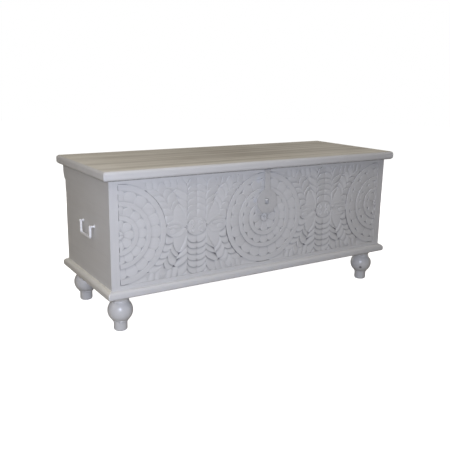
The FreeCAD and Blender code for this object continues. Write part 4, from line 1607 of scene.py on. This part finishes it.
@dataclass(frozen=True)
class Bail:
    """The forged bail of one end's handle, thick and slightly uneven, with the two pins that it swings on."""

    side: Side
    finish: Material
    end_radius: float = 3.0 * MM
    end_steps: tuple[Point, ...] = ((1.0, 0.12), (0.87, 0.5), (0.5, 0.87))
    pin_length: float = 12.5 * MM
    pin_radius: float = 2.0 * MM
    pin_sides: int = 20
    bend: float = 7.0 * MM
    inset: float = 1.0 * MM
    outset: float = 0.9 * MM
    half_width: float = 4.0 * MM
    half_thickness: float = 4.2 * MM
    width_spread: float = 0.035
    bend_steps: int = 8
    straight_steps: int = 6
    corners_round: int = 18

    def build(self) -> None:
        """Model the bail and fit it in the place of the plain one."""
        node = f"{self.side.word}_bail"
        low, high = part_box(node)
        axis = Vector(((low.x + high.x) / 2, (low.y + high.y) / 2, high.z - self.end_radius))
        arm = (high.y - low.y) / 2 - self.pin_length
        shape = bmesh.new()
        stations = self.stations(arm, high.z - low.z - 2 * self.end_radius)
        rings = [self.ring(shape, axis, number, station) for number, station in enumerate(stations)]
        for first, second in zip(rings, rings[1:]):
            for number, corner in enumerate(first):
                shape.faces.new((first[number - 1], corner, second[number], second[number - 1]))
        shape.faces.new(rings[0])
        shape.faces.new(rings[-1])
        turn = Matrix.Rotation(math.pi / 2, 4, "X")
        for way in (-1, 1):
            middle = axis + Vector((0.0, way * (arm + self.pin_length / 2), 0.0))
            bmesh.ops.create_cone(shape, cap_ends=True, segments=self.pin_sides, radius1=self.pin_radius,
                                  radius2=self.pin_radius, depth=self.pin_length,
                                  matrix=Matrix.Translation(middle) @ turn)
        bmesh.ops.recalc_face_normals(shape, faces=shape.faces[:])
        finished_piece(f"{node}_forging", shape, self.finish, Fitted(node, "painted_iron", (node,)))

    def stations(self, arm: float, drop: float) -> list[Station]:
        """Return the places along the bail, from one arm's rounded top to the other's.

        Args:
            arm: distance of an arm from the bail's middle.
            drop: height of the pins above the lower bar.

        Returns:
            The places, each (across, up) from the middle of the axis.
        """
        straight, bar = drop - self.bend, arm - self.bend
        half = [Station((arm, self.end_radius * up), (-1.0, 0.0), share) for up, share in self.end_steps]
        half += [Station((arm, -straight * number / self.straight_steps), (-1.0, 0.0))
                 for number in range(self.straight_steps)]
        for number in range(self.bend_steps + 1):
            angle = FULL_TURN / 4 * number / self.bend_steps
            across, down = math.cos(angle), math.sin(angle)
            half.append(Station((bar + self.bend * across, -straight - self.bend * down), (-across, down)))
        half += [Station((bar * (1 - number / self.straight_steps), -drop), (0.0, 1.0))
                 for number in range(1, self.straight_steps + 1)]
        return half + [Station((-place[0], place[1]), (-inward[0], inward[1]), share)
                       for place, inward, share in half[-2::-1]]

    def ring(self, shape: Shape, axis: Vector, number: int,
             station: Station) -> list[bmesh.types.BMVert]:
        """Add one ring of corners around the bail's line.

        Args:
            shape: the bail in the making.
            axis: middle of the line through the pins.
            number: number of the ring.
            station: its place on the line.

        Returns:
            The corners, in order.
        """
        made = []
        (across, up), (inward_across, inward_up), share = station
        width = self.half_width * (1 + self.width_spread * uneven(number))
        for step in range(self.corners_round):
            angle = FULL_TURN * step / self.corners_round
            inside = share * (self.inset + width * math.cos(angle))
            outside = share * (self.outset + self.half_thickness * math.sin(angle))
            offset = (self.side.value * outside, across + inward_across * inside, up + inward_up * inside)
            made.append(shape.verts.new(axis + Vector(offset)))
        return made


@dataclass(frozen=True)
class Lamp:
    """One soft lamp of the studio."""

    name: str
    at: Triple
    towards: Triple
    size: Point
    power: float
    tint: Colour

    def hang(self) -> None:
        """Hang the lamp."""
        data = bpy.data.lights.new(self.name, "AREA")
        data.shape = "RECTANGLE"
        data.size, data.size_y = self.size
        data.energy = self.power
        data.color = self.tint
        lamp = linked(self.name, data)
        aim = (Vector(self.towards) - Vector(self.at)).to_track_quat("-Z", "Y")
        lamp.matrix_world = Matrix.Translation(self.at) @ aim.to_matrix().to_4x4()


@dataclass(frozen=True)
class Studio:
    """A pale floor, soft light and the camera, which aren't part of the chest."""

    focal_pixels: float = 606.829
    picture_pixels: float = 450.0
    sensor: float = 36.0
    camera_at: Triple = (-1.191088, -1.840518, 0.779016)
    yaw: float = math.radians(32.217)
    pitch: float = math.radians(13.722)
    roll: float = math.radians(0.844)
    floor_radius: float = 9.0
    floor_corners: int = 96
    floor_tone: Colour = (0.93, 0.93, 0.93)
    floor_fibre: Mottle = Mottle(40.0, 3.0, 0.5)
    fibre_share: float = 0.985
    floor_roughness: float = 0.9
    floor_glow: float = 0.97
    bounce_tone: Colour = (0.42, 0.39, 0.335)
    sky_tone: Colour = (1.0, 0.94, 0.85)
    sky_strength: float = 0.07
    lamps: tuple[Lamp, ...] = (
        Lamp("front_softbox", (-1.28, -1.86, 0.78), (-0.4, -0.2, 0.3), (0.4, 0.4), 31.0, (0.76, 0.815, 0.99)),
        Lamp("left_softbox", (-2.6, 0.2, 1.5), (-0.5, 0.0, 0.3), (1.4, 1.4), 8.5, (1.0, 0.88, 0.66)),
        Lamp("top_softbox", (-0.4, -0.9, 2.4), (0.0, 0.0, 0.3), (2.2, 1.6), 21.0, (1.0, 0.93, 0.82)),
        Lamp("back_softbox", (1.6, 2.6, 1.2), (0.0, 0.2, 0.4), (3.2, 1.0), 12.0, (1.0, 0.96, 0.90)),
        Lamp("low_back_softbox", (0.5, 2.2, 0.3), (0.0, 0.2, 0.25), (2.0, 0.4), 14.0, (1.0, 0.97, 0.92)),
        Lamp("low_right_softbox", (2.3, 0.45, 0.3), (0.55, 0.0, 0.25), (0.9, 0.4), 9.0, (1.0, 0.97, 0.93)))

    def build(self) -> None:
        """Set up the whole studio."""
        self.camera()
        self.floor()
        self.sky()
        for lamp in self.lamps:
            lamp.hang()
        bpy.context.scene.view_settings.view_transform = "Standard"

    def camera(self) -> None:
        """Place the camera as the photograph was taken."""
        ahead = Vector((math.sin(self.yaw) * math.cos(self.pitch), math.cos(self.yaw) * math.cos(self.pitch),
                        -math.sin(self.pitch)))
        level = Vector((math.cos(self.yaw), -math.sin(self.yaw), 0.0))
        upright = level.cross(ahead)
        right = level * math.cos(self.roll) + upright * math.sin(self.roll)
        up = upright * math.cos(self.roll) - level * math.sin(self.roll)
        data = bpy.data.cameras.new("camera")
        data.sensor_width = self.sensor
        data.lens = self.focal_pixels / self.picture_pixels * self.sensor
        camera = linked("camera", data)
        turn = Matrix((right, up, -ahead)).transposed().to_4x4()
        camera.matrix_world = Matrix.Translation(self.camera_at) @ turn
        bpy.context.scene.camera = camera

    def floor(self) -> None:
        """Lay the pale floor, which looks nearly white but throws little light back up."""
        shape = bmesh.new()
        bmesh.ops.create_circle(shape, cap_ends=True, segments=self.floor_corners, radius=self.floor_radius)
        mesh = meshed("studio_floor", shape)
        floor = linked("studio_floor", mesh)
        material, bench, shader = new_bench("floor_paper")
        fibre = bench.noise(bench.place(), self.floor_fibre)
        darker = tuple(self.fibre_share * value for value in self.floor_tone)
        bench.join(bench.tinted(self.floor_tone, darker, fibre), shader.inputs["Base Color"])
        shader.inputs["Roughness"].default_value = self.floor_roughness
        shader.inputs["Emission Color"].default_value = WHITE
        shader.inputs["Emission Strength"].default_value = self.floor_glow
        bounce = bench.add("BsdfDiffuse")
        bounce.inputs["Color"].default_value = (*self.bounce_tone, 1.0)
        surface = next(node for node in bench.tree.nodes if node.type == "OUTPUT_MATERIAL")
        bench.split(bounce.outputs["BSDF"], shader.outputs["BSDF"], surface.inputs["Surface"])
        mesh.materials.append(material)

    def sky(self) -> None:
        """Show a white backdrop, and light the chest dimly and warmly from all round."""
        world = bpy.data.worlds.new("studio")
        world.use_nodes = True
        bench = NodeBench(world.node_tree)
        backdrop = world.node_tree.nodes["Background"]
        backdrop.inputs["Color"].default_value = WHITE
        glow = bench.add("Background")
        glow.inputs["Color"].default_value = (*self.sky_tone, 1.0)
        glow.inputs["Strength"].default_value = self.sky_strength
        surface = world.node_tree.nodes["World Output"].inputs["Surface"]
        bench.split(glow.outputs["Background"], backdrop.outputs["Background"], surface)
        bpy.context.scene.world = world


def dress_frame(finishes: Finishes) -> None:
    """Give every carried-over node of the frame its finish.

    Args:
        finishes: the finishes.
    """
    for part in frame["record"]["subparts"]:
        mesh = frame["nodes"][part["node"]].data
        mesh.materials.clear()
        mesh.materials.append(finishes.of(part["node"], part["material_slot"]))


def main() -> None:
    """Build the studio and dress the whole chest."""
    logging.basicConfig(level=logging.INFO, format="%(message)s")
    finishes = Finishes.mixed()
    Studio().build()
    dress_frame(finishes)
    CarvedPanel(finishes).build()
    for side in Side:
        # The bails take the iron with the painted highlight.
        Bail(side, finishes.bright_iron).build()


if __name__ == "__main__":
    main()
